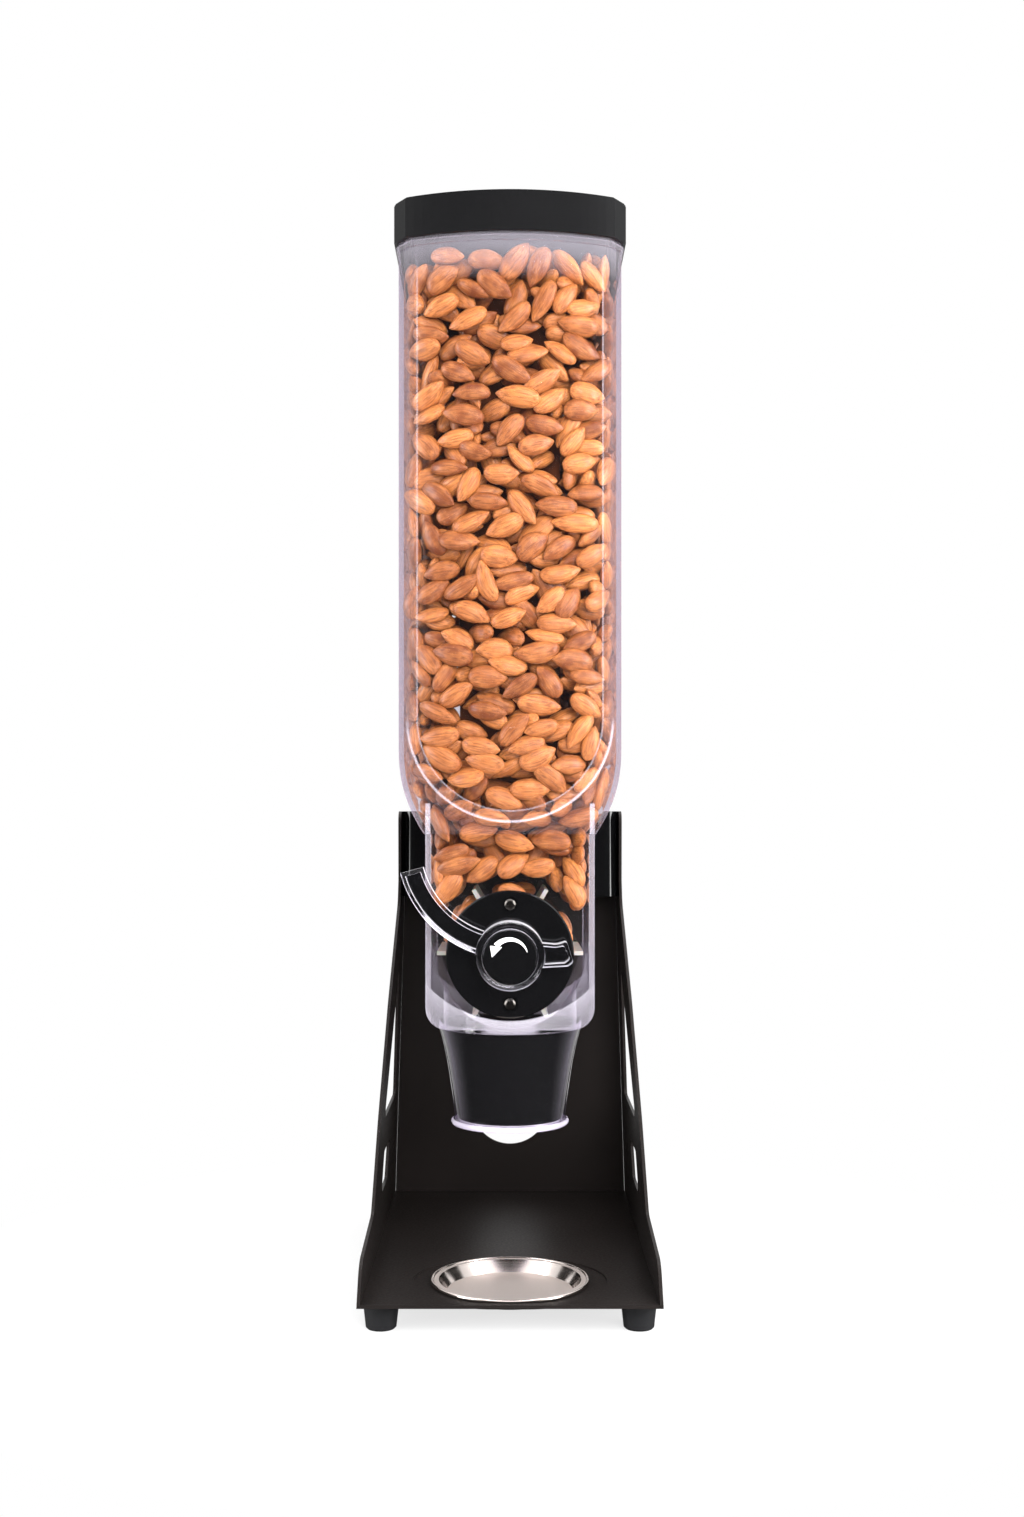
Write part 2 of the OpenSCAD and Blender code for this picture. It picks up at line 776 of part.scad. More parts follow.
module rear_bush() {
    color("#e9e6dc")
        difference() {
            union() {
                axial(rear_bush_r, housing_rear, housing_rear + housing_wall + 1.5);
                axial(rear_bush_r + 3, housing_rear + housing_wall + weld_gap,
                      housing_rear + housing_wall + 1.5);
            }
            axial(shaft_r + running_gap, housing_rear - 1, housing_rear + 6);
        }
}

// Snap cap that closes the rear bush from outside
module rear_cap() {
    color("#0c0c0d")
        axial(rear_bush_r + 3, housing_rear - 2, housing_rear - weld_gap, r2 = rear_bush_r + 3.5);
}

// ---------------------------------------------------------------- spout

lip_h = 3.6;                                    // thickened edge at the spout's mouth
lip_bead_r = 1.8;
flare_steps = 10;
spigot_h = 3;
function spout_at(t) = spout_r + (collar_r - spout_r) * (0.72 * t + 0.28 * pow(t, 4));

// One wall of the spout as a ring profile, its outside shrunk by an inset
function spout_wall(inset, t0, low_h, top_h) = concat(
    [for (i = [0 : flare_steps]) let (t = i / flare_steps)
        [spout_at(t) - inset, up(low_h + (top_h - low_h) * t)]],
    [for (i = [flare_steps : -1 : 0]) let (t = i / flare_steps)
        [spout_at(t) - inset - t0, up(low_h + (top_h - low_h) * t)]]
);

module spout_shell() {
    top_h = collar_h - weld_gap;
    color("#d8d4e6", 0.35)
        translate([0, fwd(housing_mid), 0])
            rotate_extrude() {
                polygon(spout_wall(0, shell_t, spout_h, top_h));
                translate([spout_r - shell_t + 0.5, up(spout_h)])
                    square([shell_t + 1, lip_h]);
                translate([spout_r + 1, up(spout_h) + lip_bead_r])
                    circle(r = lip_bead_r, $fn = SMALL_FN);
            }
}

module spout_liner() {
    inset = shell_t + weld_gap;
    top_h = collar_h - weld_gap;
    spigot_out = collar_r - housing_wall - seat_gap;
    color("#0c0c0d")
        translate([0, fwd(housing_mid), 0])
            rotate_extrude() {
                polygon(spout_wall(inset, liner_t, spout_h + 1, top_h));
                translate([spigot_out - liner_t, up(top_h) - 2])
                    square([liner_t, 2 + spigot_h]);
            }
}

// ---------------------------------------------------------------- portion wheel

module drive_shaft() {
    color("silver")
        difference() {
            axial(shaft_r, shaft_rear, shaft_front);
            axial(handle_screw_r + weld_gap, shaft_front - 9, shaft_front + 1, fn = SMALL_FN);
        }
}

module wheel_hub() {
    color("#efece4")
        difference() {
            axial(hub_r, vane_rear - 1, vane_front + 1);
            axial(shaft_r + EPS, vane_rear - 2, vane_front + 2);
        }
}

// Flexible vanes: flat blades with a thicker root, on a sleeve that grips the hub
module wheel_vanes() {
    sleeve_t = 1.6;
    root_r = hub_r + sleeve_t;
    root_len = 4;                               // the thicker foot of each vane
    vane_len = vane_front - vane_rear;
    color("#efece4")
        difference() {
            union() {
                axial(root_r, vane_rear, vane_front);
                for (i = [0 : vane_count - 1])
                    translate([0, 0, axis_z])
                        rotate([0, i * 360 / vane_count, 0])
                            translate([0, fwd(vane_front), 0]) {
                                translate([root_r - 1, 0, -vane_t / 2])
                                    cube([vane_tip_r - root_r + 1, vane_len, vane_t]);
                                translate([root_r - 1, 0, -vane_t])
                                    cube([root_len, vane_len, 2 * vane_t]);
                            }
            }
            axial(hub_r + weld_gap, vane_rear - 1, vane_front + 1);
        }
}

// Spring clip that keeps the shaft from sliding forward
module shaft_clip() {
    color("silver")
        difference() {
            axial(shaft_r + 3, vane_front + 1 + weld_gap, vane_front + 1.9);
            axial(shaft_r + EPS, vane_front, vane_front + 3);
            translate([-1.5, fwd(vane_front + 3), axis_z])
                cube([3, 4, 12]);
        }
}

// ---------------------------------------------------------------- handle

handle_screw_r = 2;
lever_centre = [1.5, 65.8];                     // centre of the lever's curve, from the axis
lever_root_a = 252;
lever_tip_a = 195;

// Outline of the curved lever, seen from the front, shrunk by an inset
module lever_outline(inset) {
    trim = asin(inset / lever_in_r);
    translate([0, axis_z])
        polygon(concat(
            arc(lever_centre, lever_out_r - inset, lever_tip_a + trim, lever_root_a, 20),
            arc(lever_centre, lever_in_r + inset, lever_root_a, lever_tip_a + trim, 20)
        ));
}

// Outline of the short flared tab opposite the lever
module tab_outline(inset) {
    i = inset;
    translate([0, axis_z])
        polygon(rounded([
            [ring_r - 4, 8.2 - i, 0], [27.5, 7.2 - i, 12], [32.7 - i, 9.2 - 1.4 * i, 1.5],
            [36.6 - i, -2.8 + i, 2], [33.4 - i, -5.2 + i, 1.5], [ring_r - 4, -6.2 + i, 0]
        ]));
}

module handle() {
    recess_rear = handle_front - cap_recess;
    pocket_rear = handle_front - lever_t + lever_wall;
    lever_rear = handle_front - lever_t;
    color("#e6e4f0", 0.35)
        difference() {
            union() {
                axial(ring_r, handle_rear, handle_front - 0.8);
                axial(ring_r, handle_front - 0.8, handle_front, r2 = ring_r - 0.8);
                frontal(lever_rear, handle_front)
                    lever_outline(0);
                frontal(lever_rear - 4, handle_front)
                    tab_outline(0);
            }
            difference() {
                union() {
                    frontal(pocket_rear, handle_front + 1)
                        lever_outline(lever_wall);
                    frontal(pocket_rear - 4, handle_front + 1)
                        tab_outline(lever_wall * 0.8);
                }
                axial(ring_r, handle_rear, handle_front + 2);
            }
            axial(cap_r + seat_gap, recess_rear, handle_front + 1);
            axial(handle_screw_head_r + 0.4, shaft_front, handle_front);
            axial(shaft_r + EPS, handle_rear - 1, shaft_front + EPS);
        }
}

handle_screw_head_r = 4.6;

// Screw that clamps the handle to the shaft's end
module handle_screw() {
    color("silver")
        translate([0, fwd(shaft_front + weld_gap), axis_z])
            rotate([-90, 0, 0])
                pan_screw(handle_screw_r, 8, handle_screw_head_r, 3);
}

module handle_cap() {
    rear = handle_front - cap_recess + weld_gap;
    color("#0c0c0d")
        difference() {
            union() {
                axial(cap_r, rear, rear + cap_t - 1);
                axial(cap_r, rear + cap_t - 1, rear + cap_t, r2 = cap_r - 1);
            }
            axial(handle_screw_head_r + 1, rear - 1, rear + 1.5);
        }
}

// Curved arrow that shows which way to turn: an arc that swells from its tail to a three-sided head
module arrow_mark() {
    r = 10.4;
    swell = 1.5;
    head_w = 2.9;
    tail_a = 17;
    head_a = 140;
    tip_a = 180;
    face = handle_front - cap_recess + weld_gap + cap_t;
    function band(side) = [
        for (i = [0 : 20])
            let (t = i / 20, a = tail_a + (head_a - tail_a) * t)
                (r + side * (0.1 + swell * pow(t, 0.7))) * [cos(a), sin(a)]
    ];
    color("white")
        frontal(face, face + 0.25)
            translate([0, axis_z]) {
                polygon(concat(band(1), reversed(band(-1))));
                polygon([
                    (r + head_w) * [cos(head_a + 10), sin(head_a + 10)],
                    (r - head_w) * [cos(head_a - 12), sin(head_a - 12)],
                    r * [cos(tip_a), sin(tip_a)]
                ]);
            }
}

base_plate();
back_panel();
side_panel_left();
side_panel_right();
feet();
foot_studs();
hopper_cradle();
cradle_screws();
tray();
hopper();
lid();
lid_seal();
wheel_housing();
face_disc();
disc_screws();
front_bush();
rear_bush();
rear_cap();
spout_shell();
spout_liner();
drive_shaft();
wheel_hub();
wheel_vanes();
shaft_clip();
handle();
handle_screw();
handle_cap();
arrow_mark();
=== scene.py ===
"""Looks for the gravity bulk food bin: finishes, softened edges, the almonds inside and the studio.

Laid out as a Blender add-on and run as a script. Everything is in metres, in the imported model's own frame:
X to the right, +Y to the back, +Z up, the origin on the floor in the middle of the footprint.
"""

import json
import math

import bmesh
import bpy
import numpy as np
from bpy.props import FloatProperty, FloatVectorProperty, IntProperty, PointerProperty
from mathutils import Matrix, Vector
from mathutils.bvhtree import BVHTree


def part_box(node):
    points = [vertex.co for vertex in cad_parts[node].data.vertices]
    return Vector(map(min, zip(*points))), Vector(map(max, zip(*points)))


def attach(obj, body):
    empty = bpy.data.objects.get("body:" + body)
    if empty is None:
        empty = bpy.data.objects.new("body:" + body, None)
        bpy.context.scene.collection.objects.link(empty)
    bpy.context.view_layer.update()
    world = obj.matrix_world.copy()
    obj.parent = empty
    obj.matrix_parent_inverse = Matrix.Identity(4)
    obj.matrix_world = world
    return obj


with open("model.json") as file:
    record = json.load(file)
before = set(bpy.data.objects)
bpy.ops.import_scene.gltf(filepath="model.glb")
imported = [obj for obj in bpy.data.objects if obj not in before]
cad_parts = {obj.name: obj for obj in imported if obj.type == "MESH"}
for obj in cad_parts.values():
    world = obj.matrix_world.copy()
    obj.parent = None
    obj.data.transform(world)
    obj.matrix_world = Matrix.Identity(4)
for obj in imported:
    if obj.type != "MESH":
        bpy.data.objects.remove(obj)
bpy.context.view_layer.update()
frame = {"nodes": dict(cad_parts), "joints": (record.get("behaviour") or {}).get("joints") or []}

bl_info = {
    "name": "Gravity Bulk Food Bin",
    "version": (1, 0, 0),
    "blender": (4, 5, 0),
    "location": "View3D > Sidebar > Food Bin",
    "description": "Finishes and fills a clear gravity-fed food bin on its black steel stand",
    "category": "Object",
}

MM = 0.001


def axis_of_wheel():
    """A point on the portion wheel's axis, from the frame's own hinge."""
    for joint in frame["joints"]:
        if joint["name"] == "wheel_turn":
            return Vector(joint["pos_m"])
    raise RuntimeError("the frame has no joint wheel_turn")


def corner(node, high):
    """The upper or the lower corner of a node's box."""
    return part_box(node)[1 if high else 0]


WHEEL_AXIS = axis_of_wheel()
PLATE_TOP = corner("base_plate", True).z
HOPPER_LOW, HOPPER_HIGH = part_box("hopper")
HOUSING_LOW, HOUSING_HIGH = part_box("wheel_housing")
BACK_Y = corner("back_panel", True).y
HOUSING_WALL = 3.2 * MM


def from_axis(point):
    """A point's distance from the wheel's axis, which runs front to back at x = 0."""
    return math.hypot(point[0], point[2] - WHEEL_AXIS.z)


# ---------------------------------------------------------------- colours and nodes


def linear(hex_colour):
    """A "#rrggbb" sRGB colour as Blender's linear RGBA."""
    channels = [int(hex_colour[i : i + 2], 16) / 255 for i in (1, 3, 5)]
    return [c / 12.92 if c <= 0.04045 else ((c + 0.055) / 1.055) ** 2.4 for c in channels] + [1.0]


WHITE = linear("#ffffff")


def add_node(tree, kind, inputs=None, **settings):
    """Adds a shader node. settings are its options; inputs gives sockets a value or the socket to link."""
    made = tree.nodes.new("ShaderNode" + kind)
    for name, value in settings.items():
        setattr(made, name, value)
    for name, value in (inputs or {}).items():
        if isinstance(value, bpy.types.NodeSocket):
            tree.links.new(value, made.inputs[name])
        else:
            made.inputs[name].default_value = value
    return made


def new_material(name):
    """An empty node material and its tree."""
    material = bpy.data.materials.new(name)
    material.use_nodes = True
    material.node_tree.nodes.clear()
    return material, material.node_tree


def close_material(material, shader):
    """Puts a shader node on the material's surface and hands the material back."""
    add_node(material.node_tree, "OutputMaterial", {"Surface": shader.outputs[0]})
    return material


def noise(tree, spacing_mm, detail=2.0, vector=None, squash=(1, 1, 1)):
    """Noise whose features are spacing_mm apart, in object space unless a vector is given."""
    place = vector or add_node(tree, "TexCoord").outputs["Object"]
    scaled = add_node(tree, "Mapping", {"Vector": place, "Scale": squash})
    return add_node(
        tree, "TexNoise",
        {"Vector": scaled.outputs["Vector"], "Scale": 1 / (spacing_mm * MM), "Detail": detail},
    ).outputs["Fac"]


def spread(tree, value, low, high, to_low, to_high):
    """Maps a value's range low..high onto to_low..to_high."""
    return add_node(
        tree, "MapRange",
        {"Value": value, "From Min": low, "From Max": high, "To Min": to_low, "To Max": to_high},
    ).outputs["Result"]


def blend_colour(tree, factor, first, second):
    """Mixes two colours, each a list or a socket."""
    return add_node(tree, "Mix", {"Factor": factor, 6: first, 7: second}, data_type="RGBA").outputs[2]


def bump(tree, height, depth_mm, strength=1.0):
    return add_node(
        tree, "Bump", {"Height": height, "Distance": depth_mm * MM, "Strength": strength}
    ).outputs["Normal"]


def combined(tree, operation, first, *others, clamp=False):
    """Joins values one after another by a math operation such as MULTIPLY or MAXIMUM."""
    for other in others:
        first = add_node(tree, "Math", {0: first, 1: other}, operation=operation, use_clamp=clamp).outputs[0]
    return first


def part_of(tree, vector, axis):
    """One part of a vector: "X", "Y" or "Z"."""
    return add_node(tree, "SeparateXYZ", {0: vector}).outputs[axis]


def length_of(tree, vector):
    """A vector's length."""
    return add_node(tree, "VectorMath", {0: vector}, operation="LENGTH").outputs["Value"]


def flattened(tree, vector, kept):
    """A vector whose parts are kept where kept is 1 and dropped where it is 0."""
    return add_node(tree, "VectorMath", {0: vector, 1: kept}, operation="MULTIPLY").outputs[0]


def seen_from_front(tree, x_mm, above_mm):
    """Offset in the front view from a point given from the wheel's axis."""
    place = add_node(tree, "TexCoord").outputs["Object"]
    point = (x_mm * MM, 0, WHEEL_AXIS.z + above_mm * MM)
    offset = add_node(tree, "VectorMath", {0: place, 1: point}, operation="SUBTRACT").outputs[0]
    return flattened(tree, offset, (1, 0, 1))


# ---------------------------------------------------------------- materials


def powder_coated_steel(look):
    # Steel sheet under a fine black powder coat: a soft semi-gloss with a faint orange peel and warm tone.
    material, tree = new_material("powder_coated_steel_black")
    peel = noise(tree, 1.6, 2.0)
    cloud = noise(tree, 60, 3.0)
    shade = blend_colour(tree, cloud, look.powder_coat[:], linear("#1f1b1a"))
    bsdf = add_node(tree, "BsdfPrincipled", {
        "Base Color": shade,
        "Roughness": spread(tree, peel, 0.3, 0.7, 0.36, 0.46),
        "Normal": bump(tree, peel, 0.05, 0.35),
        "Specular IOR Level": 0.16,
    })
    return close_material(material, bsdf)


def moulded_gloss_abs(look):
    # ABS moulded against a polished tool: deep black with sharp reflections and a very slight waviness.
    material, tree = new_material("abs_polished_black")
    wave = noise(tree, 22, 1.0)
    fleck = noise(tree, 0.9, 1.0)
    bsdf = add_node(tree, "BsdfPrincipled", {
        "Base Color": blend_colour(tree, fleck, look.gloss_black[:], linear("#0a0a0b")),
        "Roughness": spread(tree, wave, 0.3, 0.7, 0.07, 0.12),
        "Normal": bump(tree, wave, 0.03, 0.3),
        "IOR": 1.53,
    })
    return close_material(material, bsdf)


def moulded_satin_abs(look):
    # ABS moulded against a spark-eroded tool: an even satin black that lightens softly towards the light.
    material, tree = new_material("abs_satin_black")
    grit = noise(tree, 0.8, 2.0)
    cloud = noise(tree, 35, 2.0)
    bsdf = add_node(tree, "BsdfPrincipled", {
        "Base Color": blend_colour(tree, cloud, look.satin_black[:], linear("#101011")),
        "Roughness": spread(tree, grit, 0.3, 0.7, 0.34, 0.44),
        "Normal": bump(tree, grit, 0.03, 0.3),
        "IOR": 1.53,
        "Specular IOR Level": 0.09,
    })
    return close_material(material, bsdf)


def moulded_rubber(name, hex_colour, rough):
    # Moulded rubber or soft silicone: matt, with a dusty fine grain.
    material, tree = new_material(name)
    grain = noise(tree, 0.7, 3.0)
    bsdf = add_node(tree, "BsdfPrincipled", {
        "Base Color": blend_colour(tree, grain, linear(hex_colour), linear("#1a1a1c")),
        "Roughness": spread(tree, grain, 0.3, 0.7, rough - 0.06, rough + 0.06),
        "Normal": bump(tree, grain, 0.05, 0.4),
    })
    return close_material(material, bsdf)


def spun_stainless(look):
    # Stainless sheet, pressed and spun: bright satin metal with fine rings about the dish's centre.
    material, tree = new_material("stainless_steel_spun")
    low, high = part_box("tray")
    middle = (low + high) / 2
    place = add_node(tree, "TexCoord").outputs["Object"]
    offset = add_node(tree, "VectorMath", {0: place, 1: middle}, operation="SUBTRACT").outputs[0]
    radius = length_of(tree, flattened(tree, offset, (1, 1, 0)))
    ring_place = add_node(tree, "CombineXYZ", {"X": radius})
    # real polishing lines are far finer than a pixel, so the rings are drawn 0.8 mm apart to show
    rings = noise(tree, 0.8, 1.0, vector=ring_place.outputs[0])
    # the floor is satin and gathers light from all round; the pressed wall and the rim stay bright
    level = part_of(tree, add_node(tree, "TexCoord").outputs["Normal"], "Z")
    satin = spread(tree, level, 0.94, 0.99, 0.0, 0.4)
    polish = spread(tree, rings, 0.3, 0.7, 0.12, 0.18)
    bsdf = add_node(tree, "BsdfPrincipled", {
        "Base Color": blend_colour(tree, rings, look.stainless[:], linear("#f2e8e3")),
        "Metallic": 1.0,
        "Roughness": combined(tree, "ADD", polish, satin),
        "Normal": bump(tree, rings, 0.008, 0.2),
    })
    return close_material(material, bsdf)


def plated_steel(name, hex_colour, hex_mark, rough):
    # Turned and plated steel: bright or blackened, with faint turning marks.
    material, tree = new_material(name)
    marks = noise(tree, 0.5, 2.0, squash=(1, 0.15, 1))
    bsdf = add_node(tree, "BsdfPrincipled", {
        "Base Color": blend_colour(tree, marks, linear(hex_colour), linear(hex_mark)),
        "Metallic": 1.0,
        "Roughness": spread(tree, marks, 0.3, 0.7, rough - 0.05, rough + 0.08),
    })
    return close_material(material, bsdf)


def hopper_light(tree):
    """Light in the hopper: fine lines where its front bends into the corners and the end, and haze on top."""
    flat_half, end_above_mm = 54.5 * MM, 139
    inner_share, inner_rest, outer_share, haze_share = 0.08, 0.15, 0.2, 0.08
    offset = seen_from_front(tree, 0, end_above_mm)
    # distance from a line up the middle of the front, or from the centre of the round end below it
    capped = add_node(tree, "VectorMath", {0: offset, 1: (1, 1, 0)}, operation="MINIMUM").outputs[0]
    out = length_of(tree, capped)
    # each line fades in and out at these distances from the flat front's edge
    inner = combined(
        tree, "MULTIPLY",
        spread(tree, out, flat_half - 0.6 * MM, flat_half - 0.3 * MM, 0.0, inner_share),
        spread(tree, out, flat_half + 0.3 * MM, flat_half + 0.6 * MM, 1.0, inner_rest),
    )
    # the outer line runs round the end only and fades out where the straight sides begin
    outer = combined(
        tree, "MULTIPLY",
        spread(tree, out, flat_half + 5.0 * MM, flat_half + 6.0 * MM, 0.0, outer_share),
        spread(tree, out, flat_half + 6.6 * MM, flat_half + 7.2 * MM, 1.0, 0.0),
        spread(tree, part_of(tree, offset, "Z"), -8 * MM, 2 * MM, 1.0, 0.0),
    )
    place = add_node(tree, "TexCoord").outputs["Object"]
    front_depth = HOPPER_LOW.y + 30 * MM
    in_front = spread(tree, part_of(tree, place, "Y"), front_depth - 2 * MM, front_depth, 1.0, 0.0)
    lines = combined(tree, "MULTIPLY", combined(tree, "MAXIMUM", inner, outer), in_front)
    # the empty space below the lid reads hazy
    haze_low, haze_high = HOPPER_HIGH.z - 45 * MM, HOPPER_HIGH.z - 25 * MM
    haze = spread(tree, part_of(tree, place, "Z"), haze_low, haze_high, 0.0, haze_share)
    return combined(tree, "MAXIMUM", lines, haze)


def housing_light(tree):
    """Light in the housing's front: a pale upright bar along each side and a pale crescent below the disc."""
    bar_inside, bar_share = HOUSING_HIGH.x - HOUSING_WALL, 0.14
    crescent_above_mm, crescent_inside, crescent_outside, crescent_top = 27, 67 * MM, 84 * MM, -42 * MM
    inside_share, outside_share = 0.2, 0.05
    coords = add_node(tree, "TexCoord").outputs
    aside = add_node(tree, "Math", {0: part_of(tree, coords["Object"], "X")}, operation="ABSOLUTE").outputs[0]
    bars = spread(tree, aside, bar_inside - 0.2 * MM, bar_inside, 0.0, bar_share)
    offset = seen_from_front(tree, 0, crescent_above_mm)
    radius = length_of(tree, offset)
    crescent = combined(
        tree, "MULTIPLY",
        spread(tree, radius, crescent_inside, crescent_outside, inside_share, outside_share),
        spread(tree, radius, crescent_inside - 0.4 * MM, crescent_inside, 0.0, 1.0),
        spread(tree, part_of(tree, offset, "Z"), crescent_top - 2 * MM, crescent_top, 1.0, 0.0),
    )
    faces_front = spread(tree, part_of(tree, coords["Normal"], "Y"), -0.95, -0.9, 1.0, 0.0)
    return combined(tree, "MULTIPLY", combined(tree, "MAXIMUM", bars, crescent), faces_front)


def clear_sheet_plastic(name, look, veil, light=None):
    # Clear moulded polycarbonate wall: what is behind shows through with a faint lavender tint that grows
    # towards the wall's edges, where it also mirrors more and looks milky, by veil at most. light(tree)
    # says where light gathers in the wall and makes it pale.
    material, tree = new_material(name)
    ripple = noise(tree, 30, 2.0)
    surface = bump(tree, ripple, 0.05, 0.2)
    facing = add_node(tree, "LayerWeight", {"Blend": 0.5, "Normal": surface}).outputs["Facing"]
    edge, rim, steep = (combined(tree, "POWER", facing, power) for power in (1.3, 3.0, 5.0))
    # Schlick's curve, weaker on the wall's far face: the Fresnel node would turn that face into a mirror
    near_face = spread(tree, add_node(tree, "NewGeometry").outputs["Backfacing"], 0.0, 1.0, 1.0, 0.3)
    mirror = combined(tree, "MULTIPLY", spread(tree, steep, 0.0, 1.0, 0.05, 1.0), near_face)
    deep = spread(tree, edge, 0.15, 0.75, 0.0, 1.0)
    let_through = [0.993, 0.992, 0.995, 1]
    through = add_node(tree, "BsdfTransparent", {
        "Color": blend_colour(tree, deep, let_through, look.clear_edge[:]),
    })
    share = spread(tree, rim, 0.15, 1.0, 0.001, veil)
    if light:
        share = combined(tree, "ADD", share, light(tree), clamp=True)
    milk = add_node(tree, "BsdfDiffuse", {"Color": look.clear_haze[:], "Normal": surface})
    gloss = add_node(tree, "BsdfGlossy", {"Color": WHITE, "Roughness": 0.04, "Normal": surface})
    milky = add_node(tree, "MixShader", {"Fac": share, 1: through.outputs[0], 2: milk.outputs[0]})
    mixed = add_node(tree, "MixShader", {"Fac": mirror, 1: milky.outputs[0], 2: gloss.outputs[0]})
    return close_material(material, mixed)


def clear_painted_glow(look):
    # Clear plastic seen along its length, in the housing's round bottom and the spout's rim: it is so deep
    # there that light gathers in it, and a pale, streaky painted glow stands in for that light.
    material, tree = new_material("polycarbonate_painted_glow")
    streak = noise(tree, 12, 1.0, squash=(1, 0.1, 1))
    pale = add_node(tree, "BsdfPrincipled", {
        "Base Color": blend_colour(tree, streak, look.clear_haze[:], look.clear_edge[:]),
        "Roughness": 0.15,
        "IOR": 1.58,
    })
    through = add_node(tree, "BsdfTransparent", {"Color": look.clear_haze[:]})
    mixed = add_node(tree, "MixShader", {
        "Fac": spread(tree, streak, 0.3, 0.7, 0.3, 0.6), 1: through.outputs[0], 2: pale.outputs[0],
    })
    return close_material(material, mixed)


def clear_solid_plastic(look):
    # Clear moulded acrylic with thick walls: it bends what is behind it, and its edges and steep flanks
    # glow white with the light that runs inside it.
    material, tree = new_material("acrylic_clear_thick")
    smear = noise(tree, 14, 1.0)
    glass = add_node(tree, "BsdfPrincipled", {
        "Base Color": look.clear_solid[:], "IOR": 1.49, "Transmission Weight": 1.0,
        "Roughness": spread(tree, smear, 0.4, 0.6, 0.0, 0.02),
    })
    facing = add_node(tree, "LayerWeight", {"Blend": 0.5}).outputs["Facing"]
    steep = spread(tree, facing, 0.5, 1.0, 0.0, 0.5)
    # the lower flank of the curved grip catches the light in front, from its middle to the ring
    grip_x_mm, grip_above_mm, grip_radius, flank_share = 1.5, 65.8, 63.8 * MM, 0.2
    flank_left, flank_right = -51 * MM, -21 * MM
    radius = length_of(tree, seen_from_front(tree, grip_x_mm, grip_above_mm))
    coords = add_node(tree, "TexCoord").outputs
    aside = part_of(tree, coords["Object"], "X")
    flank = combined(
        tree, "MULTIPLY",
        spread(tree, radius, grip_radius, grip_radius + 0.8 * MM, 0.0, flank_share),
        spread(tree, aside, flank_left, flank_left + 3 * MM, 0.0, 1.0),
        spread(tree, aside, flank_right - 2 * MM, flank_right, 1.0, 0.0),
        spread(tree, part_of(tree, coords["Normal"], "Y"), -0.3, 0.0, 1.0, 0.0),
    )
    glow = combined(tree, "MAXIMUM", steep, flank)
    light = add_node(tree, "BsdfDiffuse", {"Color": look.clear_solid[:]})
    lit = add_node(tree, "MixShader", {"Fac": glow, 1: glass.outputs[0], 2: light.outputs[0]})
    # lamps reach what lies behind, as they do through the real part
    shadow = add_node(tree, "LightPath").outputs["Is Shadow Ray"]
    let_through = (0.9, 0.9, 0.92, 1)
    through = add_node(tree, "BsdfTransparent", {"Color": let_through})
    mixed = add_node(tree, "MixShader", {"Fac": shadow, 1: lit.outputs[0], 2: through.outputs[0]})
    return close_material(material, mixed)


def translucent_silicone(look):
    # Cast white silicone: soft, waxy, and lit from within by the light that passes through it.
    material, tree = new_material("silicone_translucent_white")
    cloud = noise(tree, 6, 2.0)
    bsdf = add_node(tree, "BsdfPrincipled", {
        "Base Color": blend_colour(tree, cloud, look.silicone[:], linear("#dcd9d0")),
        "Roughness": spread(tree, cloud, 0.3, 0.7, 0.38, 0.5),
        "Subsurface Weight": 0.3,
        "Subsurface Scale": 0.004,
    })
    see_through = add_node(tree, "BsdfTransparent", {"Color": look.silicone[:]})
    mixed = add_node(tree, "MixShader", {"Fac": 0.42, 1: see_through.outputs[0], 2: bsdf.outputs[0]})
    return close_material(material, mixed)


def moulded_engineering_plastic():
    # Natural acetal or nylon: off-white, slightly waxy.
    material, tree = new_material("acetal_natural")
    cloud = noise(tree, 4, 2.0)
    bsdf = add_node(tree, "BsdfPrincipled", {
        "Base Color": blend_colour(tree, cloud, linear("#dedace"), linear("#e9e6dc")),
        "Roughness": spread(tree, cloud, 0.3, 0.7, 0.32, 0.42),
    })
    return close_material(material, bsdf)


def printed_white():
    # White ink printed on plastic: flat and slightly uneven in density.
    material, tree = new_material("pad_print_white")
    density = noise(tree, 0.5, 2.0)
    bsdf = add_node(tree, "BsdfPrincipled", {
        "Base Color": blend_colour(tree, density, linear("#e2e2e2"), linear("#f4f4f4")),
        "Roughness": 0.5,
    })
    return close_material(material, bsdf)


def almond_skin(look):
    # Raw almond: a matt papery brown skin with fine lengthwise wrinkles, each kernel of its own tone.
    material, tree = new_material("almond_skin")
    grain = add_node(tree, "Attribute", attribute_name="grain", attribute_type="GEOMETRY").outputs["Vector"]
    tone = add_node(tree, "Attribute", attribute_name="tone", attribute_type="GEOMETRY").outputs["Fac"]
    # wrinkles run the length of the kernel, about 1 mm apart across it
    wrinkle = noise(tree, 0.9, 2.0, vector=grain, squash=(0.08, 1, 1))
    patch = noise(tree, 7, 2.0, vector=grain)
    skin = blend_colour(tree, tone, look.almond_dark[:], look.almond_light[:])
    lit = blend_colour(tree, spread(tree, patch, 0.35, 0.7, 0, 0.45), skin, linear("#dc9050"))
    furrow = spread(tree, wrinkle, 0.3, 0.6, 0.7, 0.0)
    colour = blend_colour(tree, furrow, lit, look.almond_furrow[:])
    bsdf = add_node(tree, "BsdfPrincipled", {
        "Base Color": colour,
        "Roughness": spread(tree, wrinkle, 0.3, 0.7, 0.5, 0.34),
        "Normal": bump(tree, wrinkle, 0.35, 0.6),
        "Coat Weight": 0.3,
        "Coat Roughness": 0.22,
    })
    return close_material(material, bsdf)


